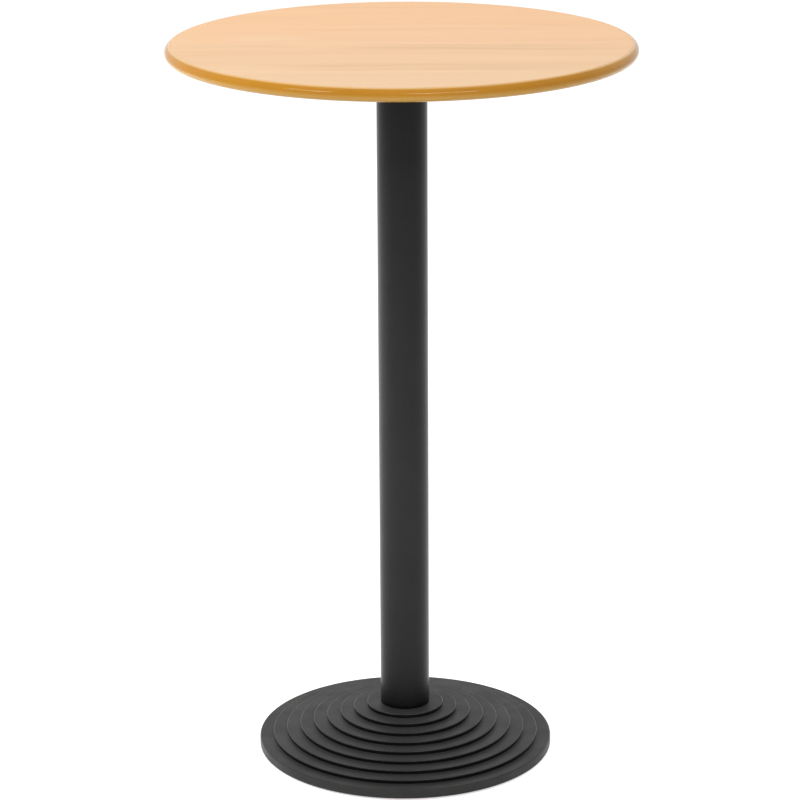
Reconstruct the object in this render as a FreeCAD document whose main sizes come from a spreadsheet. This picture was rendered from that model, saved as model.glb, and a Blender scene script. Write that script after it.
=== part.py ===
import FreeCAD, Part
import os

import Sketcher
from FreeCAD import Placement, Rotation, Vector

# Round bar-height pub table: a laminated disc top with a bullnose edge moulding, a four-armed
# spider under it, a steel tube column clamped by one tie rod, and a stepped cast base on four
# screw-in levelling glides. Millimetres, +Z up, the floor is Z = 0 and the column's axis is Z.

TONGUE_BARBS = 3
HALF_TURN = 180
FULL_TURN = 2 * HALF_TURN
NUT_CORNER_SLOPE = 30
CUTTING_SPARE = 1
LEAST_CUT = 1e-6
EDGE_TOLERANCE = 1e-4

# The driving dimensions. Each can be changed by itself; everything else follows from them.
DIMENSIONS = [
    # whole table
    ("table_height", 1100, "floor to the top face"),
    # top
    ("top_diameter", 690, "over the edge moulding"),
    ("moulding_width", 9, "how far the bullnose stands out from the board"),
    ("core_thickness", 18, "board between the laminates"),
    ("laminate_thickness", 1, "face sheet and balancing sheet"),
    ("slot_depth", 10, "slot in the board's edge for the moulding's tongue"),
    ("slot_width", 3, "saw kerf of that slot"),
    ("tongue_web", 1.6, "moulding's tongue between its barbs"),
    ("tongue_clearance", 0.1, "barb tips to the slot walls, and tongue to the slot's floor"),
    # spider under the top
    ("arm_length", 150, "centre to the tip of an arm"),
    ("arm_root_width", 44, "arm where it leaves the hub"),
    ("arm_tip_width", 28, "round end of the arm"),
    ("arm_thickness", 5, "flat arm"),
    ("web_thickness", 6, "web under each arm"),
    ("web_rise", 3.5, "web's lower edge above the column, at the hub"),
    ("hub_lip", 4.5, "hub beyond the outside of the column"),
    ("hub_floor", 7, "iron under the upper washer"),
    ("recess_gap", 3, "hub recess around the washer, for a socket spanner"),
    ("spigot_height", 10, "hub spigot inside the column"),
    ("spigot_clearance", 0.3, "spigots inside the column"),
    # wood screws through the arms
    ("screw_inner_radius", 82, "inner ring of screws"),
    ("screw_edge_margin", 14, "outer screws in from the tip of the arm"),
    ("screw_diameter", 5, "shank"),
    ("screw_head_diameter", 9.6, "pan head"),
    ("screw_head_height", 3.2, "pan head"),
    ("screw_head_side", 1.8, "upright side of the pan head"),
    ("screw_crown_diameter", 6.8, "flat end of the pan head"),
    ("screw_bite", 12, "screw inside the top, with its point"),
    ("screw_point", 4, "conical point"),
    ("pilot_gap", 1.5, "pilot hole beyond the point"),
    ("screw_arm_clearance", 0.3, "around the shank in the arm"),
    ("screw_recess_width", 1.2, "slots of the cross recess"),
    ("screw_recess_span", 5.2, "length of those slots"),
    ("screw_recess_depth", 1.9, "cross recess"),
    # column
    ("column_diameter", 75, "outside of the tube"),
    ("column_wall", 1.5, "tube wall"),
    # tie rod with its nuts and washers
    ("rod_diameter", 12, "threaded rod, modelled at its major diameter"),
    ("rod_hole_clearance", 0.5, "around the rod in castings and washers"),
    ("rod_proud", 3, "rod beyond each nut"),
    ("rod_end_gap", 1.5, "rod's upper end to the underside of the top"),
    ("rod_chamfer", 1.2, "ends of the rod"),
    ("nut_across_flats", 19, "hexagon nut"),
    ("nut_height", 10, "hexagon nut"),
    ("washer_diameter", 30, "large washer"),
    ("washer_thickness", 2.5, "large washer"),
    ("thread_clearance", 0.05, "plain cylinders that stand for threads"),
    # cast base
    ("base_diameter", 450, "over the rim"),
    ("top_step_diameter", 117, "flat seat of the column"),
    ("step_count", 8, "raised steps above the rim"),
    ("step_rise", 6.4, "height of one step"),
    ("rim_height", 17.3, "floor to the top of the rim"),
    ("floor_gap", 3, "floor to the bottom of the rim"),
    ("rim_wall", 9, "skirt of the rim"),
    ("casting_wall", 6, "least thickness under the inner corner of a step"),
    ("centre_boss_margin", 12, "centre boss beyond the column"),
    ("centre_boss_depth", 14.5, "column seat to the face under the lower washer"),
    ("foot_spigot_height", 8, "base spigot inside the column"),
    ("rib_count", 8, "radial ribs underneath"),
    ("rib_thickness", 6, "radial rib"),
    ("rib_depth", 10, "rib below the casting at the centre boss"),
    ("rib_rim_depth", 2, "rib below the casting at the rim"),
    ("rib_rim_bite", 2.25, "rib inside the skirt of the rim"),
    ("step_round", 1.5, "outer corners of the steps"),
    ("step_cove", 1.2, "inner corners of the steps"),
    ("rim_round", 2.4, "upper corner of the rim"),
    # levelling glides
    ("glide_count", 4, "glides round the base"),
    ("glide_boss_diameter", 22, "tapped boss in the base"),
    ("glide_boss_inset", 0.5, "boss inside the riser above it"),
    ("glide_cover", 4, "iron above the tapped hole"),
    ("glide_boss_bite", 1, "boss above the tapped hole, inside the casting"),
    ("pad_diameter", 30, "nylon pad"),
    ("pad_crown_diameter", 20, "top of the pad"),
    ("pad_height", 7, "nylon pad"),
    ("pad_floor", 2.6, "nylon under the stud's head"),
    ("pad_lip", 1.4, "snap lip over the stud's head"),
    ("pad_edge_round", 1.4, "chamfered corners of the pad"),
    ("pad_side_height", 4, "upright side of the pad"),
    ("pad_lip_clearance", 0.6, "lip around the stud's neck"),
    ("stud_diameter", 8, "threaded shank"),
    ("stud_head_diameter", 12.9, "disc head that turns in the pad"),
    ("stud_chamfer", 0.8, "corners of the stud's ends"),
    ("stud_end_gap", 0.5, "stud to the end of its hole"),
    ("stud_hex_across", 13, "hexagon for the spanner"),
    ("stud_hex_height", 4, "hexagon for the spanner"),
    ("bearing_clearance", 0.05, "stud head in the pad, radially"),
    ("glide_play", 0.1, "stud head in the pad, along the axis"),
    ("glide_gap", 0.3, "pad to hexagon, and hexagon to boss"),
]

doc = FreeCAD.newDocument("pub_table")
dims = doc.addObject("Spreadsheet::Sheet", "Dims")
for row, (alias, size, note) in enumerate(DIMENSIONS, start=1):
    dims.set(f"A{row}", alias)
    dims.set(f"B{row}", str(size))
    dims.setAlias(f"B{row}", alias)
    dims.set(f"C{row}", note)
doc.recompute()


def value(expression):
    """The present value of an expression that reads the sheet."""
    return float(dims.evalExpression(expression))


# ---------------------------------------------------------------------------------------------
# Derived sizes, as expressions that the features are bound to
# ---------------------------------------------------------------------------------------------

STEPS = round(value("Dims.step_count"))

CORE_RADIUS = "(Dims.top_diameter / 2 - Dims.moulding_width)"
TOP_THICKNESS = "(Dims.core_thickness + 2 * Dims.laminate_thickness)"
TOP_UNDERSIDE = f"(Dims.table_height - {TOP_THICKNESS})"

COLUMN_RADIUS = "(Dims.column_diameter / 2)"
COLUMN_BORE = f"({COLUMN_RADIUS} - Dims.column_wall)"
SPIGOT_RADIUS = f"({COLUMN_BORE} - Dims.spigot_clearance)"
ROD_HOLE = "(Dims.rod_diameter / 2 + Dims.rod_hole_clearance)"
TAPPED_ROD_HOLE = "(Dims.rod_diameter / 2 + Dims.thread_clearance)"
ROD_NUT_STACK = "(Dims.washer_thickness + Dims.nut_height + Dims.rod_proud)"

HUB_RADIUS = f"({COLUMN_RADIUS} + Dims.hub_lip)"
HUB_HEIGHT = f"({ROD_NUT_STACK} + Dims.rod_end_gap + Dims.hub_floor)"
HUB_RECESS = "(Dims.washer_diameter / 2 + Dims.recess_gap)"
SCREW_OUTER_RADIUS = "(Dims.arm_length - Dims.screw_edge_margin)"
SCREW_RADII = {"inner": "Dims.screw_inner_radius", "outer": SCREW_OUTER_RADIUS}
SCREW_RADIUS = "(Dims.screw_diameter / 2)"
ARM_ANGLES = (0, 90, 180, 270)

TREAD = "((Dims.base_diameter - Dims.top_step_diameter) / 2 / Dims.step_count)"
BASE_RADIUS = "(Dims.base_diameter / 2)"
RIM_BORE = f"({BASE_RADIUS} - Dims.rim_wall)"
CENTRE_BOSS = f"({COLUMN_RADIUS} + Dims.centre_boss_margin)"


def ring(step):
    """Radius of the riser at the outer edge of a step; step 0 carries the column."""
    return f"(Dims.top_step_diameter / 2 + {step} * {TREAD})"


def tread_height(step):
    return f"(Dims.rim_height + (Dims.step_count - {step}) * Dims.step_rise)"


def casting_underside(radius):
    """Height of the plain cone under the steps, the casting's wall below their inner corners."""
    fall = f"({radius} - {ring(0)}) * Dims.step_rise / {TREAD}"
    return f"({tread_height(1)} - {fall} - Dims.casting_wall)"


COLUMN_FOOT = tread_height(0)
COLUMN_TOP = f"({TOP_UNDERSIDE} - {HUB_HEIGHT})"
ROD_SEAT_LOW = f"({COLUMN_FOOT} - Dims.centre_boss_depth)"
ROD_SEAT_HIGH = f"({COLUMN_TOP} + Dims.hub_floor)"
ROD_FOOT = f"({ROD_SEAT_LOW} - {ROD_NUT_STACK})"
ROD_LENGTH = f"({ROD_SEAT_HIGH} + {ROD_NUT_STACK} - {ROD_FOOT})"

GLIDE_BOSS = "(Dims.glide_boss_diameter / 2)"
GLIDE_RADIUS = f"({ring(STEPS - 2)} - {GLIDE_BOSS} - Dims.glide_boss_inset)"
GLIDE_HOLE_TOP = f"({tread_height(STEPS - 2)} - Dims.glide_cover)"
HEX_FOOT = "(Dims.pad_height + Dims.glide_gap)"
HEX_TOP = f"({HEX_FOOT} + Dims.stud_hex_height)"
GLIDE_BOSS_FACE = f"({HEX_TOP} + Dims.glide_gap)"
STUD_RADIUS = "(Dims.stud_diameter / 2)"
STUD_HEAD = "(Dims.stud_head_diameter / 2)"
PAD_SOCKET_TOP = "(Dims.pad_height - Dims.pad_lip)"


# ---------------------------------------------------------------------------------------------
# Sketch and feature helpers
# ---------------------------------------------------------------------------------------------

def new_body(name, z="0", x="0", y="0"):
    """An empty body whose place in the table is bound to the sheet."""
    body = doc.addObject("PartDesign::Body", name)
    body.Label = name
    for axis, place in (("x", x), ("y", y), ("z", z)):
        body.setExpression(f"Placement.Base.{axis}", place)
    return body


def new_sketch(body, name, role="XZ_Plane", lift="0", turn=0):
    """A sketch on one of the body's own origin planes, lifted along the plane's normal."""
    plane = next(feature for feature in body.Origin.OriginFeatures if feature.Role == role)
    sketch = body.newObject("Sketcher::SketchObject", f"{body.Name}_{name}")
    sketch.AttachmentSupport = (plane, [""])
    sketch.MapMode = "FlatFace"
    sketch.AttachmentOffset = Placement(Vector(), Rotation(Vector(0, 1, 0), turn))
    sketch.setExpression("AttachmentOffset.Base.z", lift)
    return sketch


def bind(sketch, kind, target, expression):
    """A constraint of one kind whose size is an expression."""
    index = sketch.addConstraint(Sketcher.Constraint(kind, *target, value(expression)))
    sketch.setExpression(f"Constraints[{index}]", expression)


def place_point(sketch, point, x, y):
    """Hold a sketch point at (x, y) from the sketch's origin; None leaves that way free."""
    for kind, axis, place in (("DistanceX", -2, x), ("DistanceY", -1, y)):
        if place == "0":
            sketch.addConstraint(Sketcher.Constraint("PointOnObject", *point, axis))
        elif place is not None:
            bind(sketch, kind, (-1, 1, *point), place)


def draw_line(sketch, start, end):
    points = [Vector(value(x), value(y), 0) for x, y in (start, end)]
    return sketch.addGeometry(Part.LineSegment(*points))


def draw_polygon(sketch, corners):
    """A closed outline through corners given as (x, y) expressions."""
    first = sketch.GeometryCount
    count = len(corners)
    for index, corner in enumerate(corners):
        draw_line(sketch, corner, corners[(index + 1) % count])
    for index, (x, y) in enumerate(corners):
        following = first + (index + 1) % count
        sketch.addConstraint(Sketcher.Constraint("Coincident", first + index, 2, following, 1))
        before = corners[index - 1] if index else (None, None)
        if x == before[0]:
            sketch.addConstraint(Sketcher.Constraint("Vertical", first + index - 1))
            x = None
        if y == before[1]:
            sketch.addConstraint(Sketcher.Constraint("Horizontal", first + index - 1))
            y = None
        place_point(sketch, (first + index, 1), x, y)


def draw_circle(sketch, radius, x="0", y="0"):
    centre = Vector(value(x), value(y), 0)
    circle = sketch.addGeometry(Part.Circle(centre, Vector(0, 0, 1), value(radius)))
    bind(sketch, "Radius", (circle,), radius)
    place_point(sketch, (circle, 3), x, y)


def hexagon_corners(across_flats):
    corner = f"{across_flats} / sqrt(3)"
    half = f"{across_flats} / 2"
    return [(corner, "0"), (f"{corner} / 2", half), (f"-{corner} / 2", half),
            (f"-{corner}", "0"), (f"-{corner} / 2", f"-{half}"), (f"{corner} / 2", f"-{half}")]


def pad(body, sketch, length, midplane=False):
    feature = body.newObject("PartDesign::Pad", sketch.Name + "_pad")
    feature.Profile = sketch
    feature.setExpression("Length", length)
    feature.Midplane = midplane
    return feature


def revolve(body, sketch, kind="Revolution"):
    """Turn a profile round the body's axis: a Revolution adds it, a Groove cuts it."""
    feature = body.newObject(f"PartDesign::{kind}", f"{sketch.Name}_{kind.lower()}")
    feature.Profile = sketch
    feature.ReferenceAxis = (sketch, ["V_Axis"])
    feature.Angle = FULL_TURN


def cut(body, sketch, depth, upwards):
    """A pocket that has to take material away."""
    doc.recompute()
    before = body.Shape.Volume
    feature = body.newObject("PartDesign::Pocket", sketch.Name + "_pocket")
    feature.Profile = sketch
    feature.setExpression("Length", depth)
    feature.Reversed = upwards
    doc.recompute()
    if body.Shape.Volume > before - LEAST_CUT:
        raise RuntimeError(f"{feature.Name} cuts nothing")
    return feature


def repeat_round(body, features, count, axis_sketch):
    """Copy features evenly round the axis of a sketch that lies flat."""
    pattern = body.newObject("PartDesign::PolarPattern", features[0].Name + "_pattern")
    pattern.Originals = features
    pattern.Axis = (axis_sketch, ["N_Axis"])
    pattern.Angle = FULL_TURN
    pattern.setExpression("Occurrences", count)
    body.Tip = pattern


def rounded_circles(body, kind, size, circles):
    """A Fillet or Chamfer on full-circle edges, each given as (radius, height) expressions."""
    doc.recompute()
    base = body.Tip
    wanted = [(value(radius), value(height)) for radius, height in circles]
    names = []
    for index, edge in enumerate(base.Shape.Edges, start=1):
        curve = edge.Curve
        if not isinstance(curve, Part.Circle) or not edge.isClosed():
            continue
        place = Vector(curve.Radius, 0, curve.Center.z)
        if any(place.distanceToPoint(Vector(r, 0, z)) < EDGE_TOLERANCE for r, z in wanted):
            names.append(f"Edge{index}")
    if len(names) < len(wanted):
        raise RuntimeError(f"{body.Name}: {len(names)} of {len(wanted)} edges found")
    feature = body.newObject(f"PartDesign::{kind}", f"{body.Name}_{kind.lower()}_{len(wanted)}")
    feature.Base = (base, names)
    feature.setExpression("Radius" if kind == "Fillet" else "Size", size)


def screw_holes(body, radius, depth, lift="0", upwards=True):
    """The two screw holes of one arm, cut and repeated for the four arms."""
    sketch = new_sketch(body, "screw_holes", "XY_Plane", lift)
    for place in SCREW_RADII.values():
        draw_circle(sketch, radius, place)
    holes = cut(body, sketch, depth, upwards)
    repeat_round(body, [holes], str(len(ARM_ANGLES)), sketch)


# ---------------------------------------------------------------------------------------------
# The top
# ---------------------------------------------------------------------------------------------

def make_top_core():
    """Board with a slot sawn round its edge and pilot holes in its underside."""
    body = new_body("top_core", z=f"{TOP_UNDERSIDE} + Dims.laminate_thickness")
    slot_floor = f"{CORE_RADIUS} - Dims.slot_depth"
    slot_low = "(Dims.core_thickness - Dims.slot_width) / 2"
    slot_high = "(Dims.core_thickness + Dims.slot_width) / 2"
    profile = new_sketch(body, "profile")
    draw_polygon(profile, [
        ("0", "0"), (CORE_RADIUS, "0"), (CORE_RADIUS, slot_low), (slot_floor, slot_low),
        (slot_floor, slot_high), (CORE_RADIUS, slot_high), (CORE_RADIUS, "Dims.core_thickness"),
        ("0", "Dims.core_thickness")])
    revolve(body, profile)
    pilot = f"{SCREW_RADIUS} + Dims.thread_clearance"
    screw_holes(body, pilot, "Dims.screw_bite - Dims.laminate_thickness + Dims.pilot_gap")
    return body


def make_laminate(name, z, with_holes):
    """Thin sheet on a face of the board; the lower one lets the screws through."""
    body = new_body(name, z=z)
    outline = new_sketch(body, "outline", "XY_Plane")
    draw_circle(outline, CORE_RADIUS)
    pad(body, outline, "Dims.laminate_thickness")
    if with_holes:
        through = f"{SCREW_RADIUS} + Dims.thread_clearance"
        screw_holes(body, through, "Dims.laminate_thickness")
    return body


def make_edge_moulding():
    """Extruded bullnose ring with a barbed tongue that is knocked into the slot."""
    body = new_body("edge_moulding", z=TOP_UNDERSIDE)
    middle = f"({TOP_THICKNESS} / 2)"
    web = "Dims.tongue_web / 2"
    barb = "(Dims.slot_width / 2 - Dims.tongue_clearance)"
    tongue = "(Dims.slot_depth - Dims.tongue_clearance)"
    spacing = f"{tongue} / {TONGUE_BARBS + 1}"
    lower = []
    for index in range(TONGUE_BARBS):
        root = f"{CORE_RADIUS} - {index + 1} * {spacing}"
        tip = f"{CORE_RADIUS} - {index + 0.5} * {spacing}"
        lower += [(tip, web), (tip, barb), (root, web)]
    end = f"{CORE_RADIUS} - {tongue}"
    low = [(x, f"{middle} - {half}") for x, half in lower] + [(end, f"{middle} - {web}")]
    high = [(end, f"{middle} + {web}")] + [(x, f"{middle} + {half}") for x, half in lower[::-1]]
    back = [(CORE_RADIUS, "0"), (CORE_RADIUS, f"{middle} - {web}")] + low + high
    back += [(CORE_RADIUS, f"{middle} + {web}"), (CORE_RADIUS, TOP_THICKNESS)]

    profile = new_sketch(body, "profile")
    for start, finish in zip(back, back[1:]):
        draw_line(profile, start, finish)
    last = len(back) - 2
    for index in range(last):
        profile.addConstraint(Sketcher.Constraint("Coincident", index, 2, index + 1, 1))
    for index, (x, y) in enumerate(back[:-1]):
        place_point(profile, (index, 1), x, y)
    place_point(profile, (last, 2), *back[-1])

    nose = "Dims.moulding_width"
    nose_radius = f"({nose} * {nose} + {middle} * {middle}) / (2 * {nose})"
    ends = [Vector(value(x), value(y), 0) for x, y in (back[0], back[-1])]
    crown = Vector(value("Dims.top_diameter / 2"), value(middle), 0)
    arc = profile.addGeometry(Part.Arc(ends[0], crown, ends[1]))
    profile.addConstraint(Sketcher.Constraint("Coincident", arc, 1, 0, 1))
    profile.addConstraint(Sketcher.Constraint("Coincident", arc, 2, last, 2))
    bind(profile, "Radius", (arc,), nose_radius)
    revolve(body, profile)
    return body


# ---------------------------------------------------------------------------------------------
# The spider and its screws
# ---------------------------------------------------------------------------------------------

def draw_arm(sketch):
    """One tapered arm with a round end, from inside the hub's wall outwards."""
    root = f"({HUB_RECESS} + {HUB_RADIUS}) / 2"
    half_root = "Dims.arm_root_width / 2"
    tip_radius = "(Dims.arm_tip_width / 2)"
    tip_centre = f"(Dims.arm_length - {tip_radius})"
    draw_line(sketch, (root, f"-{half_root}"), (tip_centre, f"-{tip_radius}"))
    draw_line(sketch, (tip_centre, tip_radius), (root, half_root))
    draw_line(sketch, (root, half_root), (root, f"-{half_root}"))
    centre = Vector(value(tip_centre), 0, 0)
    sweep = Vector(0, value(tip_radius), 0)
    tip = Vector(value("Dims.arm_length"), 0, 0)
    arc = sketch.addGeometry(Part.Arc(centre - sweep, tip, centre + sweep))
    sketch.addConstraint(Sketcher.Constraint("Tangent", 0, 2, arc, 1))
    sketch.addConstraint(Sketcher.Constraint("Tangent", arc, 2, 1, 1))
    sketch.addConstraint(Sketcher.Constraint("Coincident", 1, 2, 2, 1))
    sketch.addConstraint(Sketcher.Constraint("Coincident", 2, 2, 0, 1))
    bind(sketch, "Radius", (arc,), tip_radius)
    place_point(sketch, (arc, 3), tip_centre, "0")
    place_point(sketch, (0, 1), root, f"-{half_root}")
    place_point(sketch, (1, 2), root, half_root)


def make_top_spider():
    """Hub that sits on the column with a spigot in it, and four webbed arms."""
    body = new_body("top_spider", z=COLUMN_TOP)
    profile = new_sketch(body, "hub")
    draw_polygon(profile, [
        (ROD_HOLE, "-Dims.spigot_height"), (SPIGOT_RADIUS, "-Dims.spigot_height"),
        (SPIGOT_RADIUS, "0"), (HUB_RADIUS, "0"), (HUB_RADIUS, HUB_HEIGHT),
        (HUB_RECESS, HUB_HEIGHT), (HUB_RECESS, "Dims.hub_floor"), (ROD_HOLE, "Dims.hub_floor")])
    revolve(body, profile)

    arm_underside = f"({HUB_HEIGHT} - Dims.arm_thickness)"
    outline = new_sketch(body, "arm", "XY_Plane", arm_underside)
    draw_arm(outline)
    arm = pad(body, outline, "Dims.arm_thickness")

    web_end = "(Dims.screw_inner_radius - Dims.screw_head_diameter)"
    inside_hub = f"({HUB_RECESS} + {HUB_RADIUS}) / 2"
    web_outline = new_sketch(body, "web")
    inside_arm = f"{HUB_HEIGHT} - Dims.arm_thickness / 2"
    draw_polygon(web_outline, [
        (inside_hub, "Dims.web_rise"), (HUB_RADIUS, "Dims.web_rise"),
        (web_end, arm_underside), (web_end, inside_arm), (inside_hub, inside_arm)])
    web = pad(body, web_outline, "Dims.web_thickness", midplane=True)
    repeat_round(body, [arm, web], str(len(ARM_ANGLES)), outline)
    clearance_hole = f"{SCREW_RADIUS} + Dims.screw_arm_clearance"
    through = f"Dims.arm_thickness + {CUTTING_SPARE}"
    screw_holes(body, clearance_hole, through, arm_underside)
    return body


def make_top_screw(number, angle, radius):
    """Pan-head wood screw, driven upwards through an arm into the board."""
    body = new_body(f"top_screw_{number}", x=f"{radius} * cos({angle})",
                    y=f"{radius} * sin({angle})", z=f"{TOP_UNDERSIDE} - Dims.arm_thickness")
    head = "(Dims.screw_head_diameter / 2)"
    drop = "-Dims.screw_head_height"
    point = "(Dims.arm_thickness + Dims.screw_bite)"
    shoulder = f"({point} - Dims.screw_point)"
    profile = new_sketch(body, "profile")
    draw_polygon(profile, [
        ("0", drop), ("Dims.screw_crown_diameter / 2", drop), (head, "-Dims.screw_head_side"),
        (head, "0"), (SCREW_RADIUS, "0"), (SCREW_RADIUS, shoulder), ("0", point)])
    revolve(body, profile)

    blade = "Dims.screw_recess_width / 2"
    reach = "Dims.screw_recess_span / 2"
    recess = new_sketch(body, "recess", "XY_Plane", drop)
    draw_polygon(recess, [
        (reach, f"-{blade}"), (reach, blade), (blade, blade), (blade, reach),
        (f"-{blade}", reach), (f"-{blade}", blade), (f"-{reach}", blade),
        (f"-{reach}", f"-{blade}"), (f"-{blade}", f"-{blade}"), (f"-{blade}", f"-{reach}"),
        (blade, f"-{reach}"), (blade, f"-{blade}")])
    cut(body, recess, "Dims.screw_recess_depth", upwards=True)
    return body


# ---------------------------------------------------------------------------------------------
# The column and the tie rod through it
# ---------------------------------------------------------------------------------------------

def make_ring(name, z, outer, inner, length):
    """Plain ring, for the tube and the washers."""
    body = new_body(name, z=z)
    outline = new_sketch(body, "outline", "XY_Plane")
    draw_circle(outline, outer)
    draw_circle(outline, inner)
    pad(body, outline, length)
    return body


def make_tie_rod():
    body = new_body("tie_rod", z=ROD_FOOT)
    outline = new_sketch(body, "outline", "XY_Plane")
    draw_circle(outline, "Dims.rod_diameter / 2")
    pad(body, outline, ROD_LENGTH)
    ends = [("Dims.rod_diameter / 2", "0"), ("Dims.rod_diameter / 2", ROD_LENGTH)]
    rounded_circles(body, "Chamfer", "Dims.rod_chamfer", ends)
    return body


def make_rod_nut(name, z):
    """Hexagon nut with its corners turned off at both ends."""
    body = new_body(name, z=z)
    outline = new_sketch(body, "outline", "XY_Plane")
    draw_polygon(outline, hexagon_corners("Dims.nut_across_flats"))
    draw_circle(outline, TAPPED_ROD_HOLE)
    pad(body, outline, "Dims.nut_height")
    flat = "Dims.nut_across_flats / 2"
    beyond = f"(Dims.nut_across_flats / sqrt(3) + {CUTTING_SPARE})"
    rise = f"({beyond} - {flat}) * tan({NUT_CORNER_SLOPE})"
    corners = new_sketch(body, "corners")
    draw_polygon(corners, [(flat, "0"), (beyond, "0"), (beyond, rise)])
    draw_polygon(corners, [(flat, "Dims.nut_height"), (beyond, "Dims.nut_height"),
                           (beyond, f"Dims.nut_height - {rise}")])
    revolve(body, corners, "Groove")
    return body


# ---------------------------------------------------------------------------------------------
# The cast base
# ---------------------------------------------------------------------------------------------

def make_base_casting():
    """Stepped dome with a plain cone underneath, ribs, a centre boss and tapped glide bosses."""
    body = new_body("base_casting")
    spigot_top = f"{COLUMN_FOOT} + Dims.foot_spigot_height"
    corners = [(ROD_HOLE, spigot_top), (SPIGOT_RADIUS, spigot_top), (SPIGOT_RADIUS, COLUMN_FOOT)]
    for step in range(STEPS):
        corners += [(ring(step), tread_height(step)), (ring(step), tread_height(step + 1))]
    corners += [(BASE_RADIUS, tread_height(STEPS)), (BASE_RADIUS, "Dims.floor_gap"),
                (RIM_BORE, "Dims.floor_gap"), (RIM_BORE, casting_underside(RIM_BORE)),
                (CENTRE_BOSS, casting_underside(CENTRE_BOSS)), (CENTRE_BOSS, ROD_SEAT_LOW),
                (ROD_HOLE, ROD_SEAT_LOW)]
    profile = new_sketch(body, "profile")
    draw_polygon(profile, corners)
    revolve(body, profile)

    outer_corners = [(ring(step), tread_height(step)) for step in range(STEPS)]
    inner_corners = [(ring(step), tread_height(step + 1)) for step in range(STEPS)]
    rounded_circles(body, "Fillet", "Dims.step_round", outer_corners)
    rounded_circles(body, "Fillet", "Dims.step_cove", inner_corners)
    rounded_circles(body, "Fillet", "Dims.rim_round", [(BASE_RADIUS, "Dims.rim_height")])

    # the ribs run from inside the centre boss to inside the rim, between the glides
    inside = f"({CENTRE_BOSS} - Dims.rib_thickness)"
    outside = f"({RIM_BORE} + Dims.rib_rim_bite)"
    buried = "Dims.casting_wall / 2"
    rib_outline = new_sketch(body, "rib", turn=HALF_TURN / value("Dims.rib_count"))
    draw_polygon(rib_outline, [
        (inside, f"{casting_underside(inside)} - Dims.rib_depth"),
        (outside, f"{casting_underside(outside)} - Dims.rib_rim_depth"),
        (outside, f"{casting_underside(outside)} + {buried}"),
        (inside, f"{casting_underside(inside)} + {buried}")])
    rib = pad(body, rib_outline, "Dims.rib_thickness", midplane=True)

    boss_angle = f"({HALF_TURN} / Dims.glide_count)"
    boss_place = (f"{GLIDE_RADIUS} * cos({boss_angle})", f"{GLIDE_RADIUS} * sin({boss_angle})")
    boss_outline = new_sketch(body, "glide_boss", "XY_Plane", GLIDE_BOSS_FACE)
    draw_circle(boss_outline, GLIDE_BOSS, *boss_place)
    repeat_round(body, [rib], "Dims.rib_count", boss_outline)
    buried_top = f"({GLIDE_HOLE_TOP} + Dims.glide_boss_bite)"
    boss = pad(body, boss_outline, f"{buried_top} - {GLIDE_BOSS_FACE}")
    repeat_round(body, [boss], "Dims.glide_count", boss_outline)

    hole_outline = new_sketch(body, "glide_hole", "XY_Plane", GLIDE_BOSS_FACE)
    draw_circle(hole_outline, f"{STUD_RADIUS} + Dims.thread_clearance", *boss_place)
    hole = cut(body, hole_outline, f"{GLIDE_HOLE_TOP} - {GLIDE_BOSS_FACE}", upwards=True)
    repeat_round(body, [hole], "Dims.glide_count", hole_outline)
    return body


# ---------------------------------------------------------------------------------------------
# The levelling glides
# ---------------------------------------------------------------------------------------------

def glide_place(number):
    angle = f"((2 * {number} - 1) * {HALF_TURN} / Dims.glide_count)"
    return {"x": f"{GLIDE_RADIUS} * cos({angle})", "y": f"{GLIDE_RADIUS} * sin({angle})"}


def make_glide_pad(number):
    """Nylon pad with a snap socket for the head of the stud."""
    body = new_body(f"glide_pad_{number}", **glide_place(number))
    outer = "(Dims.pad_diameter / 2)"
    lip = f"({STUD_RADIUS} + Dims.pad_lip_clearance)"
    socket = f"({STUD_HEAD} + Dims.bearing_clearance)"
    profile = new_sketch(body, "profile")
    draw_polygon(profile, [
        ("0", "0"), (f"{outer} - Dims.pad_edge_round", "0"), (outer, "Dims.pad_edge_round"),
        (outer, "Dims.pad_side_height"), ("Dims.pad_crown_diameter / 2", "Dims.pad_height"),
        (lip, "Dims.pad_height"), (lip, PAD_SOCKET_TOP), (socket, PAD_SOCKET_TOP),
        (socket, "Dims.pad_floor"), ("0", "Dims.pad_floor")])
    revolve(body, profile)
    return body


def make_glide_stud(number):
    """Steel stud: a disc head in the pad, a hexagon for the spanner and a threaded shank."""
    body = new_body(f"glide_stud_{number}", **glide_place(number))
    head_low = "(Dims.pad_floor + Dims.glide_play)"
    head_high = f"({PAD_SOCKET_TOP} - Dims.glide_play)"
    end = f"({GLIDE_HOLE_TOP} - Dims.stud_end_gap)"
    profile = new_sketch(body, "profile")
    draw_polygon(profile, [
        ("0", head_low), (f"{STUD_HEAD} - Dims.stud_chamfer", head_low),
        (STUD_HEAD, f"{head_low} + Dims.stud_chamfer"), (STUD_HEAD, head_high),
        (STUD_RADIUS, head_high), (STUD_RADIUS, f"{end} - Dims.stud_chamfer"),
        (f"{STUD_RADIUS} - Dims.stud_chamfer", end), ("0", end)])
    revolve(body, profile)
    hexagon = new_sketch(body, "hexagon", "XY_Plane", HEX_FOOT)
    draw_polygon(hexagon, hexagon_corners("Dims.stud_hex_across"))
    pad(body, hexagon, "Dims.stud_hex_height")
    return body


# ---------------------------------------------------------------------------------------------
# The whole table
# ---------------------------------------------------------------------------------------------

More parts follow.
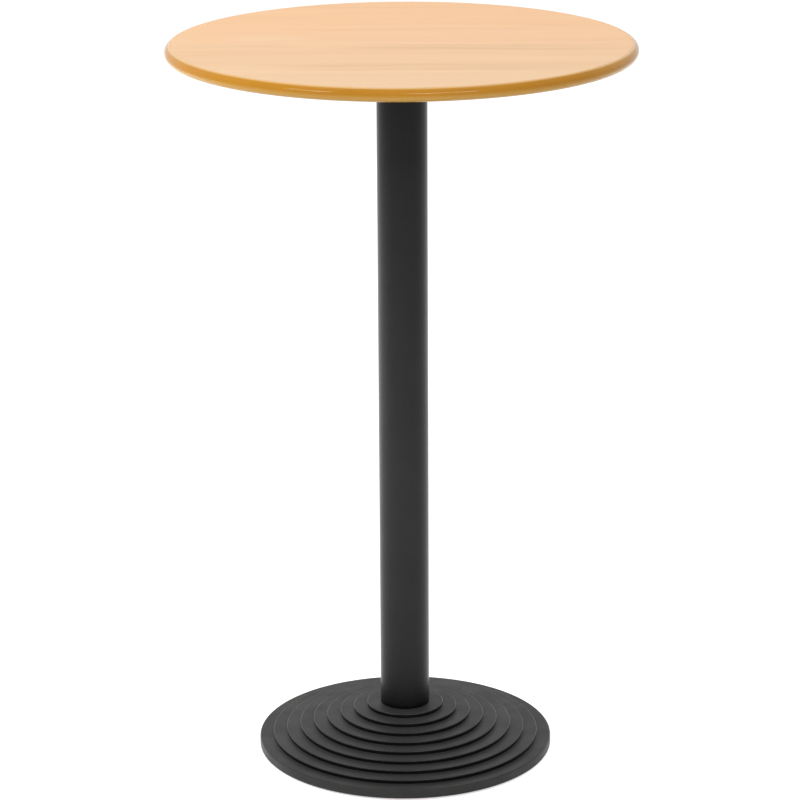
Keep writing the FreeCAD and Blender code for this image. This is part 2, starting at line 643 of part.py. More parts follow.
def make_table():
    bodies = [
        make_top_core(),
        make_laminate("top_laminate", "Dims.table_height - Dims.laminate_thickness", False),
        make_laminate("underside_laminate", TOP_UNDERSIDE, True),
        make_edge_moulding(),
        make_top_spider(),
        make_ring("column_tube", COLUMN_FOOT, COLUMN_RADIUS, COLUMN_BORE,
                  f"{COLUMN_TOP} - {COLUMN_FOOT}"),
        make_tie_rod(),
        make_base_casting(),
    ]
    places = [(angle, radius) for angle in ARM_ANGLES for radius in SCREW_RADII.values()]
    for number, (angle, radius) in enumerate(places, start=1):
        bodies.append(make_top_screw(number, angle, radius))

    washer = ("Dims.washer_diameter / 2", ROD_HOLE, "Dims.washer_thickness")
    low_washer = f"{ROD_SEAT_LOW} - Dims.washer_thickness"
    bodies.append(make_ring("rod_washer_lower", low_washer, *washer))
    bodies.append(make_ring("rod_washer_upper", ROD_SEAT_HIGH, *washer))
    bodies.append(make_rod_nut("rod_nut_lower", f"{low_washer} - Dims.nut_height"))
    bodies.append(make_rod_nut("rod_nut_upper", f"{ROD_SEAT_HIGH} + Dims.washer_thickness"))

    for number in range(1, round(value("Dims.glide_count")) + 1):
        bodies.append(make_glide_pad(number))
        bodies.append(make_glide_stud(number))
    return bodies


def check(bodies):
    """Stop if any feature failed or any piece is not one sound solid."""
    for item in doc.Objects:
        if "Invalid" in item.State or "Error" in item.State:
            raise RuntimeError(f"{item.Name}: {item.State}")
    for body in bodies:
        shape = body.Shape
        if shape.isNull() or not shape.isValid() or len(shape.Solids) != 1:
            raise RuntimeError(f"{body.Label} is not one valid solid")


pieces = make_table()
doc.recompute()
check(pieces)
os.makedirs("parts", exist_ok=True)
for piece in pieces:
    piece.Shape.exportStep(f"parts/{piece.Label}.step")
    box = piece.Shape.BoundBox
    print(f"{piece.Label:20s} {piece.Shape.Volume:12.1f} mm3  z {box.ZMin:8.2f} {box.ZMax:8.2f}")
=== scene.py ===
import math

import bmesh
import bpy
from mathutils import Matrix, Vector


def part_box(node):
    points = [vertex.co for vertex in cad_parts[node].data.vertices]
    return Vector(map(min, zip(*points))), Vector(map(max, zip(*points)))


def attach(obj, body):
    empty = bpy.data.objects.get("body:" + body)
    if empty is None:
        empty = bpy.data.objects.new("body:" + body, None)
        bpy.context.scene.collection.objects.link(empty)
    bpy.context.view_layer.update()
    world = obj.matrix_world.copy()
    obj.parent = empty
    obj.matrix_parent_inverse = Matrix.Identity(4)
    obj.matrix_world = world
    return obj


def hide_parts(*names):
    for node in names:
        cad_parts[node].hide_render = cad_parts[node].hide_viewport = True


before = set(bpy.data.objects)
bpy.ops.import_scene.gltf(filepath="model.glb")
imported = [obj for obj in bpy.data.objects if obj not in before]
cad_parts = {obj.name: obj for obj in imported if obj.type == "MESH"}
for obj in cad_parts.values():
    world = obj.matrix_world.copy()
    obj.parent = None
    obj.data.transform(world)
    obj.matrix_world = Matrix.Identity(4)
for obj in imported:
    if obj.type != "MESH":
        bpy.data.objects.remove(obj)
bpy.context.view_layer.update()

# A bar-height pub table: a beech-laminate disc with a bullnose edge band, a four-armed casting
# under it, a powder-coated steel column and a stepped cast base on four screw-in feet.
# Metres, +Z up, the floor is Z = 0 and the column's axis is Z.

MM = 0.001
FULL_TURN = 2 * math.pi

# ---------------------------------------------------------------------------------------------
# Sizes
# ---------------------------------------------------------------------------------------------


def foot_of(node):
    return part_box(node)[0].z


def top_of(node):
    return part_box(node)[1].z


def radius_of(node):
    """Outer radius of a CAD node that is round about the column's axis."""
    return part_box(node)[1].x


def centre_of(node):
    low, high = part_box(node)
    return (low + high) / 2


# steps round a full turn, and the angles under which an edge is shaded smooth
ROUND_STEPS = 256
MIDDLE_ROUND_STEPS = 96
SMALL_ROUND_STEPS = 48
SCREW_HOLE_STEPS = 24
SMOOTH_ANGLE = math.radians(35)
HARDWARE_SMOOTH_ANGLE = math.radians(30)
# points this near are merged, and heights and radii this near are the same
MERGE_DISTANCE = 0.001 * MM
LEVEL_TOLERANCE = 0.02 * MM

# tabletop
TOP_RADIUS = radius_of("edge_moulding")
BOARD_RADIUS = radius_of("top_core")
TOP_HEIGHT = top_of("edge_moulding")
TOP_UNDERSIDE = foot_of("edge_moulding")
LAMINATE_EDGE_ROUND = 0.25 * MM
BAND_LIP_ROUND = 0.35 * MM
BAND_JOINT_GAP = 0.3 * MM
NOSE_SEGMENTS = 28
TONGUE_DEPTH = 9.9 * MM
TONGUE_HALF_WEB = 0.8 * MM
TONGUE_HALF_BARB = 1.4 * MM
TONGUE_BARBS = 3

# column
COLUMN_RADIUS = radius_of("column_tube")
COLUMN_WALL = 1.5 * MM
COLUMN_FOOT = foot_of("column_tube")
COLUMN_TOP = top_of("column_tube")
COLUMN_END_ROUND = 0.4 * MM
SPIGOT_CLEARANCE = 0.3 * MM
SPIGOT_RADIUS = COLUMN_RADIUS - COLUMN_WALL - SPIGOT_CLEARANCE

# stepped base
BASE_RADIUS = radius_of("base_casting")
BASE_TOP = top_of("base_casting")
STEP_COUNT = 8
TOP_STEP_RADIUS = 58.5 * MM
STEP_RISE = 6.4 * MM
TREAD = (BASE_RADIUS - TOP_STEP_RADIUS) / STEP_COUNT
RIM_HEIGHT = COLUMN_FOOT - STEP_COUNT * STEP_RISE
RIM_FOOT = foot_of("base_casting")
RIM_WALL = 9 * MM
CASTING_WALL = 6 * MM
CENTRE_BOSS_RADIUS = COLUMN_RADIUS + 12 * MM
STEP_ROUND = 1.4 * MM
STEP_COVE = 0.5 * MM
RIM_ROUND = 2.4 * MM
RIM_FOOT_ROUND = 0.8 * MM
RIB_COUNT = 8
RIB_THICKNESS = 6 * MM
RIB_DEPTH = 10 * MM
RIB_RIM_DEPTH = 2 * MM
RIB_ROUND = 1.2 * MM
RIB_NOSE_ROUND = 5 * MM

# tie rod, nuts and washers
THREAD_CLEARANCE = 0.05 * MM
ROD_RADIUS = radius_of("tie_rod")
ROD_CLEARANCE = 0.5 * MM
ROD_HOLE = ROD_RADIUS + ROD_CLEARANCE
ROD_PITCH = 1.75 * MM
ROD_CHAMFER = 1.2 * MM
ROD_THREAD = 42 * MM
NUT_ACROSS = 19 * MM
NUT_CHAMFER = 0.6 * MM
WASHER_ROUND = 0.3 * MM
WASHER_SEAT_LOW = top_of("rod_washer_lower")
WASHER_SEAT_HIGH = foot_of("rod_washer_upper")

# arm casting
HUB_RADIUS = COLUMN_RADIUS + 4.5 * MM
HUB_RECESS = 18 * MM
ARM_LENGTH = radius_of("top_spider")
ARM_HALF_ROOT = 22 * MM
ARM_HALF_TIP = 14 * MM
ARM_TIP_ROUND = 13.7 * MM
ARM_THICKNESS = 5 * MM
ARM_COUNT = 4
WEB_HALF = 3 * MM
WEB_END = 72.4 * MM
WEB_RISE = 3.5 * MM
CAST_ROUND = 0.9 * MM

# screws through the arms
SCREW_RADIUS = 2.5 * MM
SCREW_HEAD_RADIUS = 4.8 * MM
SCREW_HEAD_HEIGHT = 3.2 * MM
SCREW_HEAD_SIDE = 1.8 * MM
SCREW_CROWN_RADIUS = 3.4 * MM
SCREW_HEAD_ROUND = 0.7 * MM
SCREW_CORE = 1.7 * MM
SCREW_TOOTH = 0.9 * MM
SCREW_PITCH = 2.2 * MM
SCREW_TIP = 5 * MM
# radians between the slots of one screw and the next
SCREW_TURN_STEP = 1.1
CROSS_REACH = 2.6 * MM
CROSS_HALF = 0.6 * MM
CROSS_DEPTH = 1.9 * MM
SCREW_CLEARANCE = 0.3 * MM

# levelling feet
GLIDE_COUNT = 4
GLIDE_BOSS_RADIUS = 11 * MM
GLIDE_BOSS_FACE = 11.6 * MM
GLIDE_HOLE_SPARE = 0.5 * MM
GLIDE_HOLE_TOP = top_of("glide_stud_1") + GLIDE_HOLE_SPARE
STUD_RADIUS = 4 * MM
STUD_PITCH = 1.25 * MM
STUD_HEX_ACROSS = 13 * MM
STUD_HEX_FOOT = 7.3 * MM
STUD_HEX_TOP = 11.3 * MM
STUD_HEAD_RADIUS = 6.45 * MM
STUD_HEAD_TOP = 5.5 * MM
STUD_CHAMFER = 0.8 * MM
PAD_SOLE_CORNER = 1.4 * MM
PAD_SOLE_ROUND = 0.6 * MM
PAD_SIDE_TOP = 4 * MM
PAD_CROWN_RADIUS = 10 * MM
PAD_CROWN_ROUND = 0.8 * MM
PAD_LIP = 1.4 * MM
PAD_MOUTH_RADIUS = STUD_RADIUS + 0.6 * MM
PAD_SOCKET_RADIUS = STUD_HEAD_RADIUS + 0.05 * MM
PAD_SOCKET_FOOT = 2.6 * MM

# ---------------------------------------------------------------------------------------------
# Modelling by hand
# ---------------------------------------------------------------------------------------------


def clear_selection():
    if bpy.context.object and bpy.context.object.mode != "OBJECT":
        bpy.ops.object.mode_set(mode="OBJECT")
    bpy.ops.object.select_all(action="DESELECT")


def take(piece):
    """Selects one piece alone and makes it active."""
    clear_selection()
    piece.select_set(True)
    bpy.context.view_layer.objects.active = piece


def pick(piece, kind, wanted):
    """Goes into edit mode and selects the vertices or edges that wanted() says yes to."""
    take(piece)
    bpy.ops.object.mode_set(mode="EDIT")
    bpy.ops.mesh.select_mode(type=kind)
    bpy.ops.mesh.select_all(action="DESELECT")
    mesh = bmesh.from_edit_mesh(piece.data)
    for item in {"VERT": mesh.verts, "EDGE": mesh.edges}[kind]:
        if wanted(item):
            item.select_set(True)
    mesh.select_flush_mode()
    bmesh.update_edit_mesh(piece.data)


def settle(piece, name):
    """Names a piece and puts its place into its mesh."""
    take(piece)
    bpy.ops.object.transform_apply(location=True, rotation=True, scale=True)
    piece.name = piece.data.name = name
    return piece


def merge_doubles():
    """In edit mode, all over the mesh."""
    bpy.ops.mesh.select_all(action="SELECT")
    bpy.ops.mesh.remove_doubles(threshold=MERGE_DISTANCE)


def close_and_face_out():
    """In edit mode: merges doubles, turns all faces outwards and leaves edit mode."""
    merge_doubles()
    bpy.ops.mesh.normals_make_consistent(inside=False)
    bpy.ops.object.mode_set(mode="OBJECT")


def cap_and_close():
    """In edit mode: fills the open ends of a shell, then closes it."""
    bpy.ops.mesh.select_all(action="SELECT")
    bpy.ops.mesh.fill_holes(sides=0)
    close_and_face_out()


def draw_outline(outline):
    """Draws a chain of edges through (radius, height) points and stays in edit mode.

    It starts from a plane that is merged to a point.
    """
    clear_selection()
    radius, height = outline[0]
    bpy.ops.mesh.primitive_plane_add(size=MM, location=(radius, 0, height))
    bpy.ops.object.transform_apply(location=True)
    bpy.ops.object.mode_set(mode="EDIT")
    bpy.ops.mesh.select_mode(type="VERT")
    bpy.ops.mesh.select_all(action="SELECT")
    bpy.ops.mesh.merge(type="CENTER")
    for (radius, height), (next_radius, next_height) in zip(outline, outline[1:]):
        step = (next_radius - radius, 0, next_height - height)
        bpy.ops.mesh.extrude_vertices_move(TRANSFORM_OT_translate={"value": step})
    return bpy.context.object


def turned(name, outline, steps=ROUND_STEPS):
    """Spins an outline round the column's axis to a closed solid."""
    piece = draw_outline(outline)
    bpy.ops.mesh.select_all(action="SELECT")
    bpy.ops.mesh.spin(steps=steps, angle=FULL_TURN, center=(0, 0, 0), axis=(0, 0, 1))
    close_and_face_out()
    return settle(piece, name)


def ring(outline):
    """Closes an outline that doesn't start and end on the axis."""
    return outline + outline[:1]


def is_level(edge, height):
    return all(abs(vertex.co.z - height) < LEVEL_TOLERANCE for vertex in edge.verts)


def round_rings(piece, rings, size, segments):
    """Bevels the round edges of a turned piece that lie at (radius, height) places."""
    def on_a_ring(edge):
        return any(
            is_level(edge, height) and all(
                abs(math.hypot(*vertex.co.xy) - radius) < LEVEL_TOLERANCE
                for vertex in edge.verts)
            for radius, height in rings
        )

    pick(piece, "EDGE", on_a_ring)
    bpy.ops.mesh.bevel(offset=size, offset_type="OFFSET", segments=segments, affect="EDGES",
                       clamp_overlap=False)
    bpy.ops.object.mode_set(mode="OBJECT")


def block(name, low, high):
    """A box between two corners, as the start of a shaped piece."""
    clear_selection()
    low, high = Vector(low), Vector(high)
    bpy.ops.mesh.primitive_cube_add(size=1, location=(low + high) / 2)
    bpy.context.object.scale = high - low
    return settle(bpy.context.object, name)


def move_picked(piece, wanted, shift):
    pick(piece, "VERT", wanted)
    bpy.ops.transform.translate(value=shift)
    bpy.ops.object.mode_set(mode="OBJECT")


def bevel_picked(piece, wanted, size, segments):
    pick(piece, "EDGE", wanted)
    bpy.ops.mesh.bevel(offset=size, offset_type="OFFSET", segments=segments, affect="EDGES")
    bpy.ops.object.mode_set(mode="OBJECT")


def apply_modifier(piece, kind, **settings):
    take(piece)
    modifier = piece.modifiers.new(kind.title(), kind)
    for setting, value in settings.items():
        setattr(modifier, setting, value)
    bpy.ops.object.modifier_apply(modifier=modifier.name)


def combine(piece, tool, operation):
    """A boolean of two closed solids; the tool is used up."""
    apply_modifier(piece, "BOOLEAN", operation=operation, solver="EXACT", object=tool)
    bpy.data.objects.remove(tool)
    take(piece)
    bpy.ops.object.mode_set(mode="EDIT")
    merge_doubles()
    bpy.ops.mesh.dissolve_degenerate(threshold=MERGE_DISTANCE)
    bpy.ops.object.mode_set(mode="OBJECT")
    return piece


def copied(piece, name, turn=0.0, shift=(0, 0, 0)):
    """A copy with its own mesh, turned about the column's axis and then moved."""
    take(piece)
    bpy.ops.object.duplicate()
    copy = bpy.context.object
    if turn:
        bpy.ops.transform.rotate(value=turn, orient_axis="Z", center_override=(0, 0, 0))
    bpy.ops.transform.translate(value=shift)
    return settle(copy, name)


def joined(pieces, name):
    """Several solids that stay apart, in one mesh."""
    take(pieces[0])
    for piece in pieces:
        piece.select_set(True)
    bpy.ops.object.join()
    return settle(bpy.context.object, name)


def all_round(piece, count, first_turn=0.0):
    """Copies a piece evenly round the column's axis, in one mesh."""
    copies = [
        copied(piece, f"{piece.name}_{index}", first_turn + index * FULL_TURN / count)
        for index in range(count)
    ]
    name = piece.name
    bpy.data.objects.remove(piece)
    return joined(copies, name)


def smooth(piece, angle=SMOOTH_ANGLE):
    """Smooth shading up to an angle, with flat faces kept flat."""
    take(piece)
    bpy.ops.object.shade_smooth_by_angle(angle=angle)
    apply_modifier(piece, "WEIGHTED_NORMAL", keep_sharp=True, weight=100)
    return piece


def dress(piece, body, material, slot, *nodes):
    """Gives a finished piece its finish and its body, and hides the CAD nodes that it stands for.
    """
    piece.data.materials.clear()
    piece.data.materials.append(material)
    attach(piece, body)
    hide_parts(*nodes)


# ---------------------------------------------------------------------------------------------
# Threads and hexagons
# ---------------------------------------------------------------------------------------------

THREAD_STEPS = 24
# depth of a metric thread as a share of its pitch
METRIC_DEPTH = 0.61
HEXAGON_CORNERS = 6
CORNER_SLOPE = math.radians(30)
# one turn of a thread: share of the pitch, share of the tooth's depth
METRIC_TOOTH = ((0, 0), (0.125, 0), (0.4375, 1), (0.5625, 1), (0.875, 0), (1, 0))
WOOD_TOOTH = ((0, 0), (0.3, 0), (0.47, 1), (0.53, 1), (0.7, 0), (1, 0))


def wound_thread(name, radius, depth, pitch, low, high, tooth=METRIC_TOOTH):
    """A thread as a closed solid, a little longer than the stretch that it is for."""
    start = low - pitch
    outline = [(radius - depth * (1 - share), start + pitch * turn) for turn, share in tooth]
    piece = draw_outline(outline)
    bpy.ops.object.mode_set(mode="OBJECT")
    turns = math.ceil((high - low) / pitch) + 2
    apply_modifier(piece, "SCREW", angle=FULL_TURN, screw_offset=pitch, iterations=turns,
                   steps=THREAD_STEPS, render_steps=THREAD_STEPS, axis="Z")
    take(piece)
    bpy.ops.object.mode_set(mode="EDIT")
    merge_doubles()
    cap_and_close()
    return settle(piece, name)


def hexagon(name, across, low, high, bore=0.0, chamfer=0.0):
    """A hexagon whose corners are turned off at both ends, with a chamfered bore if it has one."""
    clear_selection()
    corner, flat = across / math.sqrt(3), across / 2
    bpy.ops.mesh.primitive_cylinder_add(vertices=HEXAGON_CORNERS, radius=corner,
                                        depth=high - low, location=(0, 0, (low + high) / 2),
                                        rotation=(0, 0, math.pi / HEXAGON_CORNERS))
    piece = settle(bpy.context.object, name)
    reach = corner + MM
    fall = (reach - flat) * math.tan(CORNER_SLOPE)
    blank = [(flat, low), (reach, low + fall), (reach, high - fall), (flat, high)]
    if bore:
        blank += [(bore + chamfer, high), (bore, high - chamfer), (bore, low + chamfer),
                  (bore + chamfer, low)]
        blank = ring(blank)
    else:
        blank = [(0, low)] + blank + [(0, high)]
    return combine(piece, turned("blank", blank, SMALL_ROUND_STEPS), "INTERSECT")


# ---------------------------------------------------------------------------------------------
# Pieces
# ---------------------------------------------------------------------------------------------


def make_laminate_face():
    radius, low, high = BOARD_RADIUS, foot_of("top_laminate"), top_of("top_laminate")
    piece = turned("laminate_face", [(0, low), (radius, low), (radius, high), (0, high)])
    round_rings(piece, [(radius, high)], LAMINATE_EDGE_ROUND, segments=2)
    return smooth(piece)


def make_edge_band():
    """The bullnose band with its barbed tongue, cut to length and butted at the back."""
    middle = (TOP_HEIGHT + TOP_UNDERSIDE) / 2
    half = (TOP_HEIGHT - TOP_UNDERSIDE) / 2
    nose = TOP_RADIUS - BOARD_RADIUS
    arc_radius = (nose ** 2 + half ** 2) / (2 * nose)
    arc_centre = TOP_RADIUS - arc_radius
    reach = math.asin(half / arc_radius)
    arc = []
    for index in range(NOSE_SEGMENTS + 1):
        angle = reach * (1 - 2 * index / NOSE_SEGMENTS)
        arc.append((arc_centre + arc_radius * math.cos(angle),
                    middle + arc_radius * math.sin(angle)))
    # the tongue's lower side, from the band to its tip
    lower = [(BOARD_RADIUS, middle - TONGUE_HALF_WEB)]
    spacing = TONGUE_DEPTH / (TONGUE_BARBS + 1)
    for index in range(TONGUE_BARBS):
        tip = BOARD_RADIUS - spacing * (index + 0.5)
        lower += [(tip, middle - TONGUE_HALF_WEB), (tip, middle - TONGUE_HALF_BARB),
                  (tip - spacing / 2, middle - TONGUE_HALF_WEB)]
    lower.append((BOARD_RADIUS - TONGUE_DEPTH, middle - TONGUE_HALF_WEB))
    upper = [(radius, 2 * middle - height) for radius, height in reversed(lower)]
    piece = draw_outline(ring(arc + lower + upper))
    merge_doubles()
    bpy.ops.mesh.select_all(action="SELECT")
    gap_angle = BAND_JOINT_GAP / TOP_RADIUS
    bpy.ops.mesh.spin(steps=ROUND_STEPS, angle=FULL_TURN - gap_angle, center=(0, 0, 0),
                      axis=(0, 0, 1))
    cap_and_close()
    settle(piece, "edge_band")
    # the joint is drawn at +X and turned to the back
    bpy.ops.transform.rotate(value=-math.pi / 2, orient_axis="Z", center_override=(0, 0, 0))
    settle(piece, "edge_band")
    lips = [(BOARD_RADIUS, TOP_HEIGHT), (BOARD_RADIUS, TOP_UNDERSIDE)]
    round_rings(piece, lips, BAND_LIP_ROUND, segments=2)
    return smooth(piece)


def make_column():
    outer, inner = COLUMN_RADIUS, COLUMN_RADIUS - COLUMN_WALL
    corners = [(outer, COLUMN_FOOT), (outer, COLUMN_TOP), (inner, COLUMN_TOP),
               (inner, COLUMN_FOOT)]
    piece = turned("column_shaft", ring(corners))
    round_rings(piece, corners, COLUMN_END_ROUND, segments=2)
    return smooth(piece)


def step_radius(step):
    return TOP_STEP_RADIUS + step * TREAD


def tread_height(step):
    return RIM_HEIGHT + (STEP_COUNT - step) * STEP_RISE


def casting_underside(radius):
    """Height of the plain cone under the steps."""
    return tread_height(1) - (radius - TOP_STEP_RADIUS) * STEP_RISE / TREAD - CASTING_WALL


def make_base():
    """The stepped casting, with ribs and tapped bosses underneath."""
    rim_bore = BASE_RADIUS - RIM_WALL
    outline = [(ROD_HOLE, BASE_TOP), (SPIGOT_RADIUS, BASE_TOP), (SPIGOT_RADIUS, COLUMN_FOOT)]
    for step in range(STEP_COUNT):
        outline.append((step_radius(step), tread_height(step)))
        outline.append((step_radius(step), tread_height(step + 1)))
    outline += [(BASE_RADIUS, RIM_HEIGHT), (BASE_RADIUS, RIM_FOOT), (rim_bore, RIM_FOOT),
                (rim_bore, casting_underside(rim_bore)),
                (CENTRE_BOSS_RADIUS, casting_underside(CENTRE_BOSS_RADIUS)),
                (CENTRE_BOSS_RADIUS, WASHER_SEAT_LOW), (ROD_HOLE, WASHER_SEAT_LOW)]
    piece = turned("stepped_base", ring(outline))
    outer = [(step_radius(step), tread_height(step)) for step in range(STEP_COUNT)]
    inner = [(step_radius(step), tread_height(step + 1)) for step in range(STEP_COUNT)]
    round_rings(piece, outer, STEP_ROUND, segments=4)
    round_rings(piece, inner, STEP_COVE, segments=3)
    round_rings(piece, [(BASE_RADIUS, RIM_HEIGHT)], RIM_ROUND, segments=5)
    foot = [(BASE_RADIUS, RIM_FOOT), (rim_bore, RIM_FOOT), (CENTRE_BOSS_RADIUS, WASHER_SEAT_LOW)]
    round_rings(piece, foot, RIM_FOOT_ROUND, segments=2)
    combine(piece, make_ribs_and_bosses(), "UNION")
    combine(piece, make_glide_holes(), "DIFFERENCE")
    return smooth(piece)


def make_rib():
    """One rib along +X under the cone, from inside the centre boss into the rim's wall."""
    inside = CENTRE_BOSS_RADIUS - RIB_THICKNESS
    outside = BASE_RADIUS - RIM_WALL * 3 / 4
    inside_foot = casting_underside(inside) - RIB_DEPTH
    outside_foot = casting_underside(outside) - RIB_RIM_DEPTH
    half = RIB_THICKNESS / 2
    height = CASTING_WALL / 2 + RIB_DEPTH
    rib = block("ribs", (inside, -half, inside_foot), (outside, half, inside_foot + height))
    middle = (inside + outside) / 2

    def at_the_rim(low_edge):
        def wanted(vertex):
            is_low = vertex.co.z < inside_foot + height / 2
            return vertex.co.x > middle and is_low == low_edge
        return wanted

    top_drop = casting_underside(outside) - casting_underside(inside)
    move_picked(rib, at_the_rim(True), (0, 0, outside_foot - inside_foot))
    move_picked(rib, at_the_rim(False), (0, 0, top_drop))

    def at_the_nose(edge):
        return all(vertex.co.x < middle and vertex.co.z < inside_foot + MM
                   for vertex in edge.verts)

    def along_the_foot(edge):
        first, second = (vertex.co for vertex in edge.verts)
        return (all(place.z < casting_underside(place.x) for place in (first, second))
                and abs(first.y - second.y) < half and abs(first.x - second.x) > MM / 10)

    # the end that stands proud of the centre boss runs out in a round, then the sides are eased
    bevel_picked(rib, at_the_nose, RIB_NOSE_ROUND, segments=5)
    bevel_picked(rib, along_the_foot, RIB_ROUND, segments=3)
    return rib


def make_ribs_and_bosses():
    ribs = all_round(make_rib(), RIB_COUNT, math.pi / RIB_COUNT)
    buried_top = GLIDE_HOLE_TOP + MM
    boss = turned("boss", [(0, GLIDE_BOSS_FACE), (GLIDE_BOSS_RADIUS, GLIDE_BOSS_FACE),
                           (GLIDE_BOSS_RADIUS, buried_top), (0, buried_top)], SMALL_ROUND_STEPS)
    round_rings(boss, [(GLIDE_BOSS_RADIUS, GLIDE_BOSS_FACE)], RIM_FOOT_ROUND, segments=3)
    bosses = at_the_glides(boss, "boss")
    return joined([ribs] + bosses, "ribs_and_bosses")


def at_the_glides(piece, name):
    """Copies of a piece that is modelled on the column's axis, at the feet; the piece goes."""
    copies = []
    for number in range(1, GLIDE_COUNT + 1):
        place = centre_of(f"glide_pad_{number}")
        copies.append(copied(piece, f"{name}_{number}", shift=(place.x, place.y, 0)))
    bpy.data.objects.remove(piece)
    return copies


def make_glide_holes():
    """Tapped holes in the bosses, as tools that are cut away."""
    radius = STUD_RADIUS + THREAD_CLEARANCE
    low = GLIDE_BOSS_FACE - MM
    hole = turned("hole", [(0, low), (radius, low), (radius, GLIDE_HOLE_TOP),
                           (0, GLIDE_HOLE_TOP)], SMALL_ROUND_STEPS)
    return joined(at_the_glides(hole, "hole"), "glide_holes")


def make_arm_casting():
    """Hub over the column with a spigot in it, and four webbed arms."""
    foot = foot_of("top_spider")
    outline = [(ROD_HOLE, foot), (SPIGOT_RADIUS, foot), (SPIGOT_RADIUS, COLUMN_TOP),
               (HUB_RADIUS, COLUMN_TOP), (HUB_RADIUS, TOP_UNDERSIDE),
               (HUB_RECESS, TOP_UNDERSIDE), (HUB_RECESS, WASHER_SEAT_HIGH),
               (ROD_HOLE, WASHER_SEAT_HIGH)]
    piece = turned("arm_casting", ring(outline), MIDDLE_ROUND_STEPS)
    round_rings(piece, [(SPIGOT_RADIUS, foot), (HUB_RADIUS, COLUMN_TOP)], CAST_ROUND, segments=3)
    combine(piece, all_round(make_arm(), ARM_COUNT), "UNION")
    return smooth(piece)


def make_arm():
    """One arm along +X, flat on top, with a web under its root and two screw holes."""
    root = (HUB_RECESS + HUB_RADIUS) / 2
    arm_low = TOP_UNDERSIDE - ARM_THICKNESS
    arm = block("arm", (root, -ARM_HALF_ROOT, arm_low),
                (ARM_LENGTH, ARM_HALF_ROOT, TOP_UNDERSIDE))
    taper = ARM_HALF_ROOT - ARM_HALF_TIP
    for side in (-1, 1):
        move_picked(arm, lambda v: v.co.x > HUB_RADIUS and v.co.y * side > 0,
                    (0, -side * taper, 0))
    bevel_picked(arm, lambda edge: all(v.co.x > HUB_RADIUS for v in edge.verts)
                 and abs(edge.verts[0].co.z - edge.verts[1].co.z) > MM, ARM_TIP_ROUND, segments=8)
    bevel_picked(arm, lambda edge: is_level(edge, arm_low)
                 and any(v.co.x > HUB_RADIUS for v in edge.verts), CAST_ROUND, segments=3)
    web_low = COLUMN_TOP + WEB_RISE
    web = block("web", (root, -WEB_HALF, web_low), (WEB_END, WEB_HALF, arm_low + MM))
    move_picked(web, lambda v: v.co.x > HUB_RADIUS and v.co.z < arm_low,
                (0, 0, arm_low - web_low))
    bevel_picked(web, lambda edge: all(v.co.z < arm_low + MM / 2 for v in edge.verts)
                 and abs(edge.verts[0].co.x - edge.verts[1].co.x) > MM, CAST_ROUND, segments=3)
    combine(arm, web, "UNION")
    holes = [make_screw_hole(radius) for radius in screw_radii()]
    return combine(arm, joined(holes, "screw_holes"), "DIFFERENCE")


def make_screw_hole(radius):
    clear_selection()
    bpy.ops.mesh.primitive_cylinder_add(vertices=SCREW_HOLE_STEPS,
                                        radius=SCREW_RADIUS + SCREW_CLEARANCE,
                                        depth=3 * ARM_THICKNESS,
                                        location=(radius, 0, TOP_UNDERSIDE))
    return settle(bpy.context.object, "screw_hole")


def screw_radii():
    """The inner and the outer ring of screws."""
    return sorted({round(math.hypot(*centre_of(f"top_screw_{n}").xy), 5) for n in (1, 2)})


def make_screw():
    """Pan-head wood screw with a cross recess, on the column's axis, point up."""
    seat, tip = TOP_UNDERSIDE - ARM_THICKNESS, top_of("top_screw_1")
    low, crown = seat - SCREW_HEAD_HEIGHT, seat - SCREW_HEAD_SIDE
    head = SCREW_HEAD_RADIUS
    neck = seat + ARM_THICKNESS
    piece = turned("screw", [(0, low), (SCREW_CROWN_RADIUS, low), (head, crown), (head, seat),
                             (SCREW_RADIUS, seat), (SCREW_RADIUS, neck),
                             (SCREW_CORE, neck + MM), (SCREW_CORE, tip - SCREW_TIP), (0, tip)],
                   SMALL_ROUND_STEPS)
    round_rings(piece, [(SCREW_CROWN_RADIUS, low), (head, crown)], SCREW_HEAD_ROUND, segments=3)
    thread_low, thread_high = neck + MM / 2, tip - SCREW_TIP
    beyond = SCREW_RADIUS + MM
    thread = wound_thread("thread", SCREW_RADIUS, SCREW_TOOTH, SCREW_PITCH, thread_low, tip,
                          WOOD_TOOTH)
    sleeve = [(0, thread_low), (beyond, thread_low), (beyond, thread_high - MM), (0, tip)]
    combine(thread, turned("sleeve", sleeve, SMALL_ROUND_STEPS), "INTERSECT")
    combine(piece, thread, "UNION")
    for across, along in ((CROSS_REACH, CROSS_HALF), (CROSS_HALF, CROSS_REACH)):
        slot = block("slot", (-across, -along, low - MM), (across, along, low + CROSS_DEPTH))
        combine(piece, slot, "DIFFERENCE")
    return smooth(piece, HARDWARE_SMOOTH_ANGLE)


